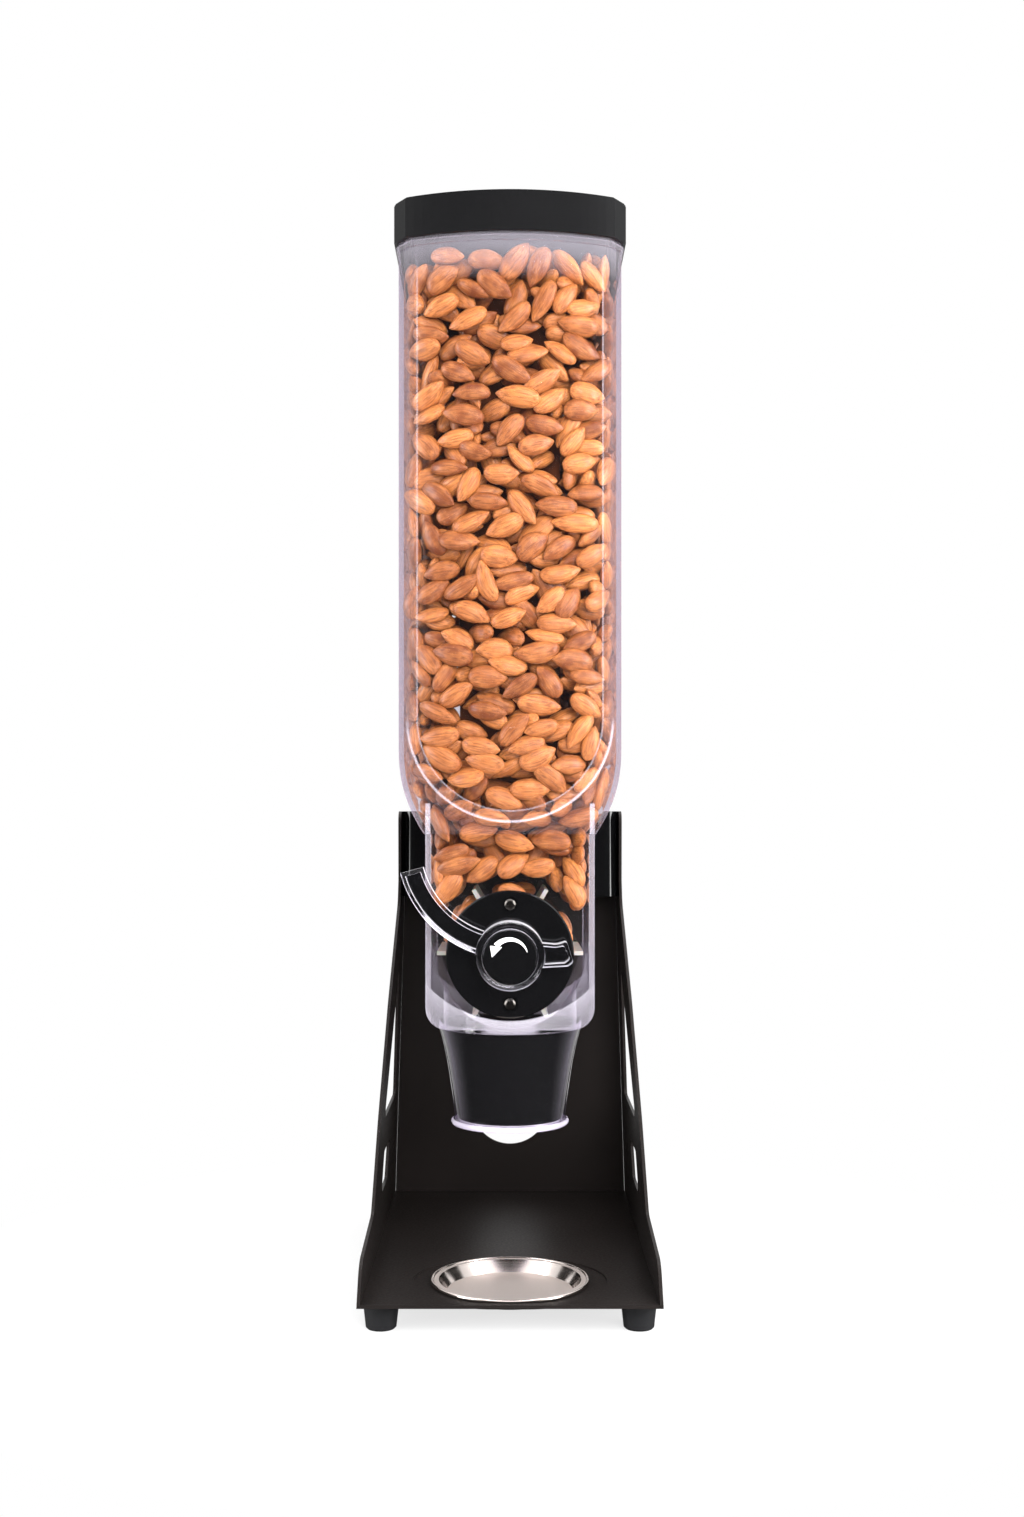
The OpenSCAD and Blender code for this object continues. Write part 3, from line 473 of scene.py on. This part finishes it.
def nut_shade():
    # The dim inside of the heap, seen only as dark gaps between the kernels.
    material, tree = new_material("almond_heap_shade")
    mottle = noise(tree, 9, 3.0)
    bsdf = add_node(tree, "BsdfPrincipled", {
        "Base Color": blend_colour(tree, mottle, linear("#3a1c0c"), linear("#6b3617")),
        "Roughness": 0.9,
    })
    return close_material(material, bsdf)


def seen_directly(tree, path):
    """1 for what the camera sees itself or through clear parts, from the outputs of a light path node."""
    return combined(tree, "ADD", path["Is Camera Ray"], path["Is Transmission Ray"], clamp=True)


def studio_floor(look):
    # A seamless white sweep: it takes the soft shadow near the object and is plain white further out.
    material, tree = new_material("studio_sweep_white")
    place = add_node(tree, "NewGeometry").outputs["Position"]
    radius = length_of(tree, flattened(tree, place, (1, 1, 0)))
    plain = spread(tree, radius, 0.17, 0.4, 0.72, 1.0)
    path = add_node(tree, "LightPath").outputs
    share = combined(tree, "MULTIPLY", plain, seen_directly(tree, path))
    grain = noise(tree, 40, 2.0)
    paper = add_node(tree, "BsdfDiffuse", {
        "Color": blend_colour(tree, grain, look.floor[:], linear("#f2f2f2")),
    })
    white = add_node(tree, "Emission", {"Color": WHITE, "Strength": 1.0})
    # the studio is dark in front of the object, so the sweep mirrors dimly there and white behind it
    behind = spread(tree, part_of(tree, place, "Y"), -0.1, 0.5, 0.05, 1.0)
    mirrored = add_node(tree, "Emission", {"Color": WHITE, "Strength": behind})
    seen = add_node(tree, "MixShader", {"Fac": share, 1: paper.outputs[0], 2: white.outputs[0]})
    mixed = add_node(tree, "MixShader", {
        "Fac": path["Is Glossy Ray"], 1: seen.outputs[0], 2: mirrored.outputs[0],
    })
    return close_material(material, mixed)


# ---------------------------------------------------------------- mesh helpers


def give(node, material, bevel_mm=0.0):
    """Gives a CAD node a material, and where asked a fine bevel that catches the light along its edges."""
    target = frame["nodes"][node]
    target.data.materials.clear()
    target.data.materials.append(material)
    if bevel_mm:
        edge = target.modifiers.new("edge_round", "BEVEL")
        edge.width = bevel_mm * MM
        edge.segments = 2
        edge.limit_method = "ANGLE"
        edge.angle_limit = math.radians(40)


def paint(node, material, chosen):
    """Gives the faces of a CAD node that chosen(centre, normal) picks another material."""
    mesh = frame["nodes"][node].data
    mesh.materials.append(material)
    for face in mesh.polygons:
        if chosen(face.center, face.normal):
            face.material_index = len(mesh.materials) - 1


def make_piece(name, verts, faces, material, body, smooth=True):
    """A new mesh object that rides on a body."""
    mesh = bpy.data.meshes.new(name)
    mesh.from_pydata([tuple(v) for v in verts], [], [tuple(f) for f in faces])
    mesh.update()
    mesh.materials.append(material)
    if smooth:
        mesh.polygons.foreach_set("use_smooth", [True] * len(mesh.polygons))
    piece = bpy.data.objects.new(name, mesh)
    bpy.context.scene.collection.objects.link(piece)
    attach(piece, body)
    return piece


# ---------------------------------------------------------------- almonds

KERNEL_LENGTH = 24 * MM
KERNEL_WIDTH = 12.7 * MM
KERNEL_THICKNESS = 8.2 * MM
KERNEL_RINGS, KERNEL_SIDES = 10, 12
# tries in each part of the heap, and for each layer along the walls its depth in mm and its tilt
WHEEL_TRIES, THROAT_TRIES, TOP_TRIES, POCKET_TRIES = 2500, 4000, 1500, 24000
LAYERS = ((5.5, 0.28), (6.5, 0.7), (12.0, 0.5), (18.0, 0.6))


def kernel_form():
    """One almond about the origin, its length along X: ring points and faces."""
    verts, faces = [], []
    for i in range(KERNEL_RINGS + 1):
        u = -math.cos(math.pi * i / KERNEL_RINGS)
        # round at the back end, drawn to a soft point at the front, widest just behind the middle
        girth = max(0.0, 1 - abs(u) ** 2.6) ** 0.5 if u < 0 else max(0.0, 1 - u ** 1.7) ** 0.78
        if i in (0, KERNEL_RINGS):
            verts.append((u * KERNEL_LENGTH / 2, 0, 0))
            continue
        for k in range(KERNEL_SIDES):
            a = 2 * math.pi * k / KERNEL_SIDES
            verts.append((
                u * KERNEL_LENGTH / 2,
                math.cos(a) * girth * KERNEL_WIDTH / 2,
                math.sin(a) * girth * KERNEL_THICKNESS / 2,
            ))
    last = len(verts) - 1

    def ring(i, k):
        return 1 + (i - 1) * KERNEL_SIDES + k % KERNEL_SIDES

    for k in range(KERNEL_SIDES):
        faces.append((0, ring(1, k + 1), ring(1, k)))
        faces.append((last, ring(KERNEL_RINGS - 1, k), ring(KERNEL_RINGS - 1, k + 1)))
        for i in range(1, KERNEL_RINGS - 1):
            faces.append((ring(i, k), ring(i, k + 1), ring(i + 1, k + 1), ring(i + 1, k)))
    return np.array(verts), faces


def clear_wall_meshes():
    """The meshes of the two clear parts that hold the heap."""
    return [frame["nodes"][node].data for node in ("hopper", "wheel_housing")]


def clear_walls():
    """One search tree of the hopper's and the housing's faces."""
    verts, faces = [], []
    for mesh in clear_wall_meshes():
        first = len(verts)
        verts += [v.co.copy() for v in mesh.vertices]
        faces += [[first + i for i in p.vertices] for p in mesh.polygons]
    return BVHTree.FromPolygons(verts, faces, epsilon=0)


def cavity_samples(rng, density, walls):
    """Random points on the inner walls of the hopper and the housing, with the direction into the heap."""
    least_area, off_the_wall, narrowest, rib_reach = 1e-8, 0.2 * MM, 30 * MM, 40 * MM
    inner = []
    for mesh in clear_wall_meshes():
        mesh.calc_loop_triangles()
        for t in mesh.loop_triangles:
            if t.area < least_area:
                continue
            # an inner wall sees another wall across the cavity, and the ribs that stand in it don't count
            reach = walls.ray_cast(t.center + t.normal * off_the_wall, t.normal)[3]
            standing_rib = abs(t.normal.x) > 0.9 and abs(t.center.x) < rib_reach
            if reach is not None and reach > narrowest and not standing_rib:
                inner.append(([mesh.vertices[i].co.copy() for i in t.vertices], t.normal.copy(), t.area))
    areas = np.array([t[2] for t in inner])
    points, inward = [], []
    for index in rng.choice(len(inner), int(density * areas.sum()), p=areas / areas.sum()):
        (a, b, c), normal, _ = inner[index]
        u, v = rng.random(2)
        if u + v > 1:
            u, v = 1 - u, 1 - v
        points.append(a + (b - a) * u + (c - a) * v)
        inward.append(normal)
    return points, inward


def turned(rng, inward, tilt):
    """A rotation that lays a kernel flat against a wall: its length mostly level, tilted a little."""
    side = inward.cross(Vector((0, 0, 1)))
    if side.length < 0.3:  # the wall is nearly level
        side = Vector((1, 0, 0))
    side.normalize()
    upward = inward.cross(side).normalized()
    a = rng.normal(0, 0.55) + (math.pi if rng.random() < 0.5 else 0)
    length = side * math.cos(a) + upward * math.sin(a)
    width = inward.cross(length)
    turn = Matrix((length, width, inward)).transposed()
    wobble = Matrix.Rotation(rng.normal(0, tilt), 3, "X") @ Matrix.Rotation(rng.normal(0, tilt), 3, "Y")
    return turn @ wobble


class Heap:
    """Kernels placed so far. Each is tested as three balls along its length.

    room(ball) says whether a ball's middle is in the heap's room, and clear(point) whether a point just
    outside the kernel's skin is clear of what is round the heap.
    """

    def __init__(self, room, clear):
        self.balls = np.zeros((0, 3))
        self.placed = []
        self.room = room
        self.clear = clear

    def inside(self, centre, turn):
        """True where the kernel's two ends and its four sides stay clear of what is round it."""
        return all(
            self.clear(Vector(centre) + turn.col[axis] * (just_over_half * across))
            for axis, across in enumerate((KERNEL_LENGTH, KERNEL_WIDTH, KERNEL_THICKNESS))
            for just_over_half in (-0.52, 0.52)
        )

    def fits(self, centre, turn, spacing):
        """The kernel's three balls where there is room for it, otherwise None."""
        along = np.array(turn.col[0]) * KERNEL_LENGTH * 0.3
        trio = np.array([np.array(centre) + along * k for k in (-1, 0, 1)])
        if not (all(self.room(ball) for ball in trio) and self.inside(centre, turn)):
            return None
        if len(self.balls):
            near = self.balls[np.abs(self.balls[:, 2] - centre[2]) < KERNEL_LENGTH]
            if len(near):
                gap = ((near[:, None, :] - trio[None, :, :]) ** 2).sum(2).min()
                if gap < spacing * spacing:
                    return None
        return trio

    def add(self, centre, turn, spacing, scale, group):
        """Places a kernel where it fits."""
        trio = self.fits(centre, turn, spacing)
        if trio is not None:
            self.balls = np.vstack([self.balls, trio])
            self.placed.append((np.array(centre), np.array(turn) * scale, group))


def kernels_mesh(name, placed, rng, material, body):
    """All the kernels of one group as a single mesh with its grain and tone attributes."""
    form, faces = kernel_form()
    count = len(form)
    verts, all_faces, grain, tone = [], [], [], []
    for index, (centre, turn, _) in enumerate(placed):
        # each kernel a little longer, wider or flatter than the next, and slightly bent
        shape = form * (1 + rng.normal(0, 0.06, 3))
        bend = rng.normal(0, 6)
        shape[:, 1] += bend * (shape[:, 0] ** 2 - (KERNEL_LENGTH / 4) ** 2)
        verts.append(shape @ turn.T + centre)
        grain.append(form + rng.random(3) * 0.7)
        tone.append(np.full(count, rng.random()))
        all_faces.extend(tuple(i + index * count for i in f) for f in faces)
    mesh = make_piece(name, np.vstack(verts), all_faces, material, body).data
    grain_data = mesh.attributes.new("grain", "FLOAT_VECTOR", "POINT").data
    grain_data.foreach_set("vector", np.vstack(grain).ravel())
    mesh.attributes.new("tone", "FLOAT", "POINT").data.foreach_set("value", np.concatenate(tone))


# ---------------------------------------------------------------- settings


def colour_setting(name, description, hex_colour):
    return FloatVectorProperty(
        name=name, description=description, subtype="COLOR", size=4, default=linear(hex_colour)
    )


def size_setting(name, description, millimetres):
    return FloatProperty(name=name, description=description, default=millimetres * MM, unit="LENGTH")


class FoodBinLook(bpy.types.PropertyGroup):
    """Colours of the bin's finishes, in linear light."""

    powder_coat: colour_setting("Powder coat", "Black powder coat of the steel stand", "#171413")
    gloss_black: colour_setting("Gloss black", "Polished black moulded parts", "#060607")
    satin_black: colour_setting("Satin black", "Satin black lid", "#0b0b0c")
    stainless: colour_setting("Stainless", "Drip tray", "#e6d9d2")
    clear_edge: colour_setting("Clear wall edge", "Tint of the clear walls seen edge-on", "#cfc6d8")
    clear_haze: colour_setting("Clear wall haze", "Light caught by the clear walls", "#e9e3f0")
    clear_solid: colour_setting("Clear solid", "Thick clear parts", "#f6f4fb")
    silicone: colour_setting("Silicone", "Vanes of the portion wheel", "#ece9e2")
    almond_dark: colour_setting("Almond, dark", "Darkest kernels", "#6d3316")
    almond_light: colour_setting("Almond, light", "Lightest kernels", "#c0763c")
    almond_furrow: colour_setting("Almond furrows", "Wrinkles of the skin", "#5f2c10")
    floor: colour_setting("Floor", "White sweep", "#ececec")


class FoodBinSizes(bpy.types.PropertyGroup):
    """Sizes that the looks need and the frame doesn't hold."""

    fill_top: size_setting("Fill height", "Top of the heap above the base plate", 622)
    heap_half: size_setting("Heap half width", "Half width of the heap in the hopper", 60)
    spacing: size_setting("Kernel spacing", "Least distance between neighbouring kernels", 7.4)
    tries: IntProperty(name="Kernel tries", description="Kernels tried in a layer on a square metre of wall",
                       default=45000)
    wall_gap: size_setting("Wall gap", "Least distance of a kernel's middle from a wall", 4.0)
    seed: IntProperty(name="Seed", description="Seed of the heap", default=7)
    camera_height: size_setting("Camera height", "Camera above the base plate", 283)
    camera_distance: size_setting("Camera distance", "Camera in front of the back panel's rear face", 1253)
    lens: FloatProperty(name="Focal length", description="Focal length in millimetres on a 36 mm long side",
                        default=38.68)
    shift_up: FloatProperty(name="Shift up", description="Upward shift of the view", default=0.0419)
    shift_right: FloatProperty(name="Shift right", description="Sideways shift of the view", default=0.0013)


def look():
    return bpy.context.scene.food_bin_look


def sizes():
    return bpy.context.scene.food_bin_sizes


# ---------------------------------------------------------------- operators


class StandFinish(bpy.types.Operator):
    """Powder coats the steel stand and finishes its feet and fasteners"""

    bl_idname = "foodbin.stand"
    bl_label = "Stand"

    def execute(self, context):
        coat = powder_coated_steel(look())
        for node in ("base_plate", "back_panel", "side_panel_left", "side_panel_right"):
            give(node, coat, bevel_mm=0.35)
        give("feet", moulded_rubber("rubber_moulded_dark", "#18181a", 0.62), bevel_mm=0.3)
        give("foot_studs", plated_steel("steel_zinc_plated", "#b9bbbe", "#8f8f92", 0.28))
        give("cradle_screws", plated_steel("steel_blackened", "#1f1d1c", "#3d3935", 0.3))
        give("hopper_cradle", moulded_gloss_abs(look()), bevel_mm=0.8)
        return {"FINISHED"}


class TrayFinish(bpy.types.Operator):
    """Gives the drip tray its spun stainless finish"""

    bl_idname = "foodbin.tray"
    bl_label = "Drip tray"

    def execute(self, context):
        give("tray", spun_stainless(look()))
        return {"FINISHED"}


class HopperFinish(bpy.types.Operator):
    """Makes the hopper and the wheel housing of clear plastic"""

    bl_idname = "foodbin.hopper"
    bl_label = "Hopper and housing"

    def execute(self, context):
        give("hopper", clear_sheet_plastic("polycarbonate_clear_wall", look(), 0.35, hopper_light))
        give("wheel_housing", clear_sheet_plastic("polycarbonate_clear_housing", look(), 0.35, housing_light))
        # the housing's round bottom below the wheel gets a painted pale glow, standing in for the light
        # reflected there
        bottom = corner("wheel_vanes", True).x + HOUSING_WALL
        paint("wheel_housing", clear_painted_glow(look()), lambda centre, normal: (
            abs(normal.y) < 0.1 and normal.z > 0.05 and centre.z < WHEEL_AXIS.z and from_axis(centre) < bottom
        ))
        return {"FINISHED"}


class LidFinish(bpy.types.Operator):
    """Finishes the lid and its seal"""

    bl_idname = "foodbin.lid"
    bl_label = "Lid"

    def execute(self, context):
        give("lid", moulded_satin_abs(look()), bevel_mm=0.4)
        give("lid_seal", moulded_rubber("silicone_grey", "#3a3a3c", 0.5))
        return {"FINISHED"}


class WheelFinish(bpy.types.Operator):
    """Finishes the portion wheel, its shaft, bushes and clip"""

    bl_idname = "foodbin.wheel"
    bl_label = "Portion wheel"

    def execute(self, context):
        plastic = moulded_engineering_plastic()
        zinc = bpy.data.materials["steel_zinc_plated"]
        give("wheel_vanes", translucent_silicone(look()), bevel_mm=0.3)
        for node in ("wheel_hub", "front_bush", "rear_bush"):
            give(node, plastic)
        for node in ("drive_shaft", "shaft_clip", "handle_screw"):
            give(node, zinc)
        return {"FINISHED"}


class HandleFinish(bpy.types.Operator):
    """Finishes the face disc, the clear handle and its cap"""

    bl_idname = "foodbin.handle"
    bl_label = "Handle and face disc"

    def execute(self, context):
        gloss = bpy.data.materials["abs_polished_black"]
        give("face_disc", gloss, bevel_mm=0.3)
        give("rear_cap", gloss)
        give("handle_cap", gloss)
        give("disc_screws", plated_steel("steel_darkened", "#5d5a57", "#77736f", 0.3))
        give("handle", clear_solid_plastic(look()), bevel_mm=0.5)
        # the floor of the grip's channel reads black between its clear flanks
        below_front, ring = corner("handle", False).y + 2 * MM, 16 * MM
        paint("handle", gloss, lambda centre, normal: (
            normal.y < -0.7 and centre.y > below_front and from_axis(centre) > ring
        ))
        give("arrow_mark", printed_white())
        return {"FINISHED"}


class SpoutFinish(bpy.types.Operator):
    """Finishes the clear spout and its black liner"""

    bl_idname = "foodbin.spout"
    bl_label = "Spout"

    def execute(self, context):
        give("spout_shell", clear_sheet_plastic("polycarbonate_clear_spout", look(), 0.015))
        # the spout's lowest rim gets a painted pale glow, standing in for the light that gathers in its edge
        rim = corner("spout_shell", False).z + 3.5 * MM
        paint("spout_shell", clear_painted_glow(look()), lambda centre, normal: centre.z < rim)
        give("spout_liner", bpy.data.materials["abs_polished_black"])
        return {"FINISHED"}


class AlmondFill(bpy.types.Operator):
    """Fills the hopper and the wheel's upper pockets with almonds"""

    bl_idname = "foodbin.almonds"
    bl_label = "Almonds"

    def execute(self, context):
        size = sizes()
        rng = np.random.default_rng(size.seed)
        skin = almond_skin(look())
        top = PLATE_TOP + size.fill_top
        vane_low, vane_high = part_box("wheel_vanes")
        sweep = vane_high.x + 1.5 * MM
        walls = clear_walls()
        heap = self.empty_heap(size, walls, sweep, top)
        vane_front, to_back, downward = vane_low.y, Vector((0, 1, 0)), Vector((0, 0, -1))
        # first the kernels that lie on the turning wheel, behind the housing's front, within an angle in
        # radians from straight up
        for _ in range(WHEEL_TRIES):
            angle, reach = rng.uniform(-1.25, 1.25), sweep + rng.uniform(6.7, 8.2) * MM
            centre = Vector((
                math.sin(angle) * reach,
                vane_front + rng.uniform(1.5, 6) * MM,
                WHEEL_AXIS.z + math.cos(angle) * reach,
            ))
            around = Matrix.Rotation(angle, 3, "Y")
            heap.add(centre, around @ turned(rng, to_back, 0.2), size.spacing, 1.0, "front")
        # then layers along the walls
        points, inward = cavity_samples(rng, size.tries, walls)
        for depth, tilt in LAYERS:
            spacing = size.spacing if depth < 8 else 0.9 * size.spacing
            for point, normal in zip(points, inward):
                centre = point + normal * (depth + rng.normal(0, 0.6)) * MM
                scale = 0.94 + 0.12 * rng.random()
                side = "left" if normal.x > 0 else "right"
                end = "back" if normal.y < -0.5 else "front"
                group = side if abs(normal.x) > 0.7 else end
                heap.add(centre, turned(rng, normal, tilt), spacing, scale, group)
        # the throat above the wheel, behind the housing's front
        for _ in range(THROAT_TRIES):
            centre = Vector((
                rng.uniform(HOUSING_LOW.x, HOUSING_HIGH.x),
                vane_front + rng.uniform(1.5, 9) * MM,
                rng.uniform(WHEEL_AXIS.z + 10 * MM, HOUSING_HIGH.z + 10 * MM),
            ))
            heap.add(centre, turned(rng, to_back, 0.35), size.spacing, 1.0, "front")
        # the free top of the heap
        for _ in range(TOP_TRIES):
            centre = Vector((
                rng.uniform(-size.heap_half, size.heap_half),
                rng.uniform(HOPPER_LOW.y + 10 * MM, HOPPER_HIGH.y - 10 * MM),
                top - rng.uniform(5, 12) * MM,
            ))
            heap.add(centre, turned(rng, downward, 0.4), size.spacing, 1.0, "top")
        for group in ("front", "left", "right", "back", "top"):
            placed = [p for p in heap.placed if p[2] == group]
            kernels_mesh("almonds_" + group, placed, rng, skin, "hopper")
        self.fill_pockets(rng, size, skin, vane_low, vane_high)
        self.shade_heap(top)
        return {"FINISHED"}

    def empty_heap(self, size, walls, sweep, top):
        """A heap that stays inside the clear walls, outside the wheel's sweep and below the top."""

        def room(ball):
            if ball[2] > top - 4 * MM or ball[2] < WHEEL_AXIS.z + 4 * MM or abs(ball[0]) > size.heap_half:
                return False
            if from_axis(ball) < sweep + 3.5 * MM:
                return False
            return walls.find_nearest(Vector(ball))[3] > size.wall_gap

        def clear(point):
            spot, normal = walls.find_nearest(point)[:2]
            return from_axis(point) > sweep and (point - spot).dot(normal) > 0.1 * MM

        return Heap(room, clear)

    def fill_pockets(self, rng, size, skin, vane_low, vane_high):
        """Kernels in the upper pockets between the six vanes, which ride with the wheel."""
        tip, hub, vane_gap, vane_step = vane_high.x, 19 * MM, 4 * MM, 60

        def room(ball):
            r = from_axis(ball)
            from_vane = math.degrees(math.atan2(ball[2] - WHEEL_AXIS.z, ball[0])) % vane_step
            beside = r * math.sin(math.radians(min(from_vane, vane_step - from_vane)))
            return hub < r < tip - 2 * MM and beside > vane_gap and ball[2] > WHEEL_AXIS.z

        def clear(point):
            ends = vane_low.y + 1.5 * MM < point.y < vane_high.y - 1.5 * MM
            return from_axis(point) < tip - 1.5 * MM and ends

        heap = Heap(room, clear)
        for _ in range(POCKET_TRIES):
            centre = Vector((
                rng.uniform(-tip, tip),
                rng.uniform(vane_low.y + 6 * MM, vane_high.y - 6 * MM),
                WHEEL_AXIS.z + rng.uniform(0, tip),
            ))
            around = Matrix.Rotation(math.atan2(centre.x, centre.z - WHEEL_AXIS.z), 3, "Y")
            heap.add(centre, around @ turned(rng, Vector((0, 1, 0)), 0.3), size.spacing, 0.9, "pocket")
        kernels_mesh("almonds_pockets", heap.placed, rng, skin, "portion_wheel")

    def shade_heap(self, top):
        """A dark block inside the heap, so that no light shows through the gaps."""
        half, foot, head = 30 * MM, HOUSING_HIGH.z + 26 * MM, top - 20 * MM
        front, rear = HOUSING_LOW.y + 16 * MM, HOPPER_HIGH.y - 34 * MM
        ramp_foot, ramp_head = HOUSING_HIGH.y - 22 * MM, PLATE_TOP + 400 * MM
        outline = [(front, foot), (front, head), (rear, head), (rear, ramp_head), (ramp_foot, foot)]
        verts = [(x, y, z) for x in (-half, half) for y, z in outline]
        n = len(outline)
        faces = [tuple(range(n - 1, -1, -1)), tuple(range(n, 2 * n))]
        faces += [(i, (i + 1) % n, n + (i + 1) % n, n + i) for i in range(n)]
        make_piece("almonds_core", verts, faces, nut_shade(), "hopper", smooth=False)


class StudioStage(bpy.types.Operator):
    """Sets the white sweep, the soft lights and the camera"""

    bl_idname = "foodbin.stage"
    bl_label = "Studio"

    def execute(self, context):
        size = sizes()
        scene = context.scene
        floor_mesh = bpy.data.meshes.new("studio_floor")
        half = 6.0
        corners = [(-half, -half, 0), (half, -half, 0), (half, half, 0), (-half, half, 0)]
        floor_mesh.from_pydata(corners, [], [(0, 1, 2, 3)])
        floor_mesh.materials.append(studio_floor(look()))
        floor = bpy.data.objects.new("studio_floor", floor_mesh)
        scene.collection.objects.link(floor)
        self.light_world(scene)
        # soft boxes round the object: name, place, size, power in watts, whether it shows in reflections
        middle = Vector((0, 0, 0.33))
        for name, place, box, power, mirrored in (
            ("soft_box_left", (-1.2, -0.5, 0.6), (0.5, 1.3), 14, True),
            ("soft_box_right", (1.2, -0.6, 0.7), (0.5, 1.3), 20, True),
            ("soft_box_top", (0.0, 0.1, 1.9), (1.2, 1.2), 16, True),
            ("front_fill", (0.45, -1.5, 0.95), (1.1, 1.1), 58, False),
        ):
            lamp = bpy.data.lights.new(name, "AREA")
            lamp.shape = "RECTANGLE"
            lamp.size, lamp.size_y = box
            lamp.energy = power
            holder = bpy.data.objects.new(name, lamp)
            holder.location = place
            holder.visible_glossy = mirrored
            holder.rotation_euler = (middle - Vector(place)).to_track_quat("-Z", "Y").to_euler()
            scene.collection.objects.link(holder)
        eye = bpy.data.cameras.new("camera")
        eye.lens = size.lens
        eye.sensor_width = 36
        eye.shift_x, eye.shift_y = size.shift_right, size.shift_up
        camera = bpy.data.objects.new("camera", eye)
        camera.location = (0, BACK_Y - size.camera_distance, PLATE_TOP + size.camera_height)
        camera.rotation_euler = (math.radians(90), 0, 0)  # level, looking to the back
        scene.collection.objects.link(camera)
        scene.camera = camera
        scene.view_settings.view_transform = "Standard"
        return {"FINISHED"}

    def light_world(self, scene):
        """Plain white to the eye and through clear parts; in reflections, a studio that is dark in front."""
        world = bpy.data.worlds.new("studio_world")
        world.use_nodes = True
        scene.world = world
        tree = world.node_tree
        tree.nodes.clear()
        path = add_node(tree, "LightPath").outputs
        ambient = add_node(tree, "Background", {"Color": WHITE, "Strength": 0.7})
        white = add_node(tree, "Background", {"Color": WHITE, "Strength": 1.0})
        axes = add_node(tree, "SeparateXYZ", {0: add_node(tree, "TexCoord").outputs["Generated"]}).outputs
        sideways = add_node(tree, "Math", {0: axes["X"]}, operation="ABSOLUTE").outputs[0]
        walls = spread(tree, sideways, 0.6, 0.85, 0.03, 1.1)
        behind = spread(tree, axes["Y"], 0.0, 0.6, 0.0, 1.0)
        ceiling = spread(tree, axes["Z"], 0.4, 0.75, 0.0, 1.5)
        glow = combined(tree, "MAXIMUM", walls, behind, ceiling)
        room = add_node(tree, "Background", {"Color": WHITE, "Strength": glow})
        unseen = add_node(tree, "MixShader", {
            "Fac": path["Is Glossy Ray"], 1: ambient.outputs[0], 2: room.outputs[0],
        })
        final = add_node(tree, "MixShader", {
            "Fac": seen_directly(tree, path), 1: unseen.outputs[0], 2: white.outputs[0],
        })
        add_node(tree, "OutputWorld", {"Surface": final.outputs[0]})


class FoodBinPanel(bpy.types.Panel):
    """Lists the bin's colours, sizes and building steps"""

    bl_idname = "VIEW3D_PT_food_bin"
    bl_label = "Food Bin"
    bl_space_type = "VIEW_3D"
    bl_region_type = "UI"
    bl_category = "Food Bin"

    def draw(self, context):
        layout = self.layout
        for group in (context.scene.food_bin_look, context.scene.food_bin_sizes):
            column = layout.column(align=True)
            for name in group.__annotations__:
                column.prop(group, name)
        for operator in STEPS:
            layout.operator(operator.bl_idname)


STEPS = (
    StandFinish, TrayFinish, HopperFinish, LidFinish, WheelFinish, HandleFinish, SpoutFinish,
    AlmondFill, StudioStage,
)
CLASSES = (FoodBinLook, FoodBinSizes, *STEPS, FoodBinPanel)


def register():
    for cls in CLASSES:
        bpy.utils.register_class(cls)
    bpy.types.Scene.food_bin_look = PointerProperty(type=FoodBinLook)
    bpy.types.Scene.food_bin_sizes = PointerProperty(type=FoodBinSizes)


def unregister():
    del bpy.types.Scene.food_bin_sizes
    del bpy.types.Scene.food_bin_look
    for cls in reversed(CLASSES):
        bpy.utils.unregister_class(cls)


def main():
    """Builds every piece in order."""
    register()
    bpy.ops.foodbin.stand()
    bpy.ops.foodbin.tray()
    bpy.ops.foodbin.hopper()
    bpy.ops.foodbin.lid()
    bpy.ops.foodbin.wheel()
    bpy.ops.foodbin.handle()
    bpy.ops.foodbin.spout()
    bpy.ops.foodbin.almonds()
    bpy.ops.foodbin.stage()
    bpy.context.view_layer.update()


if __name__ == "__main__":
    main()
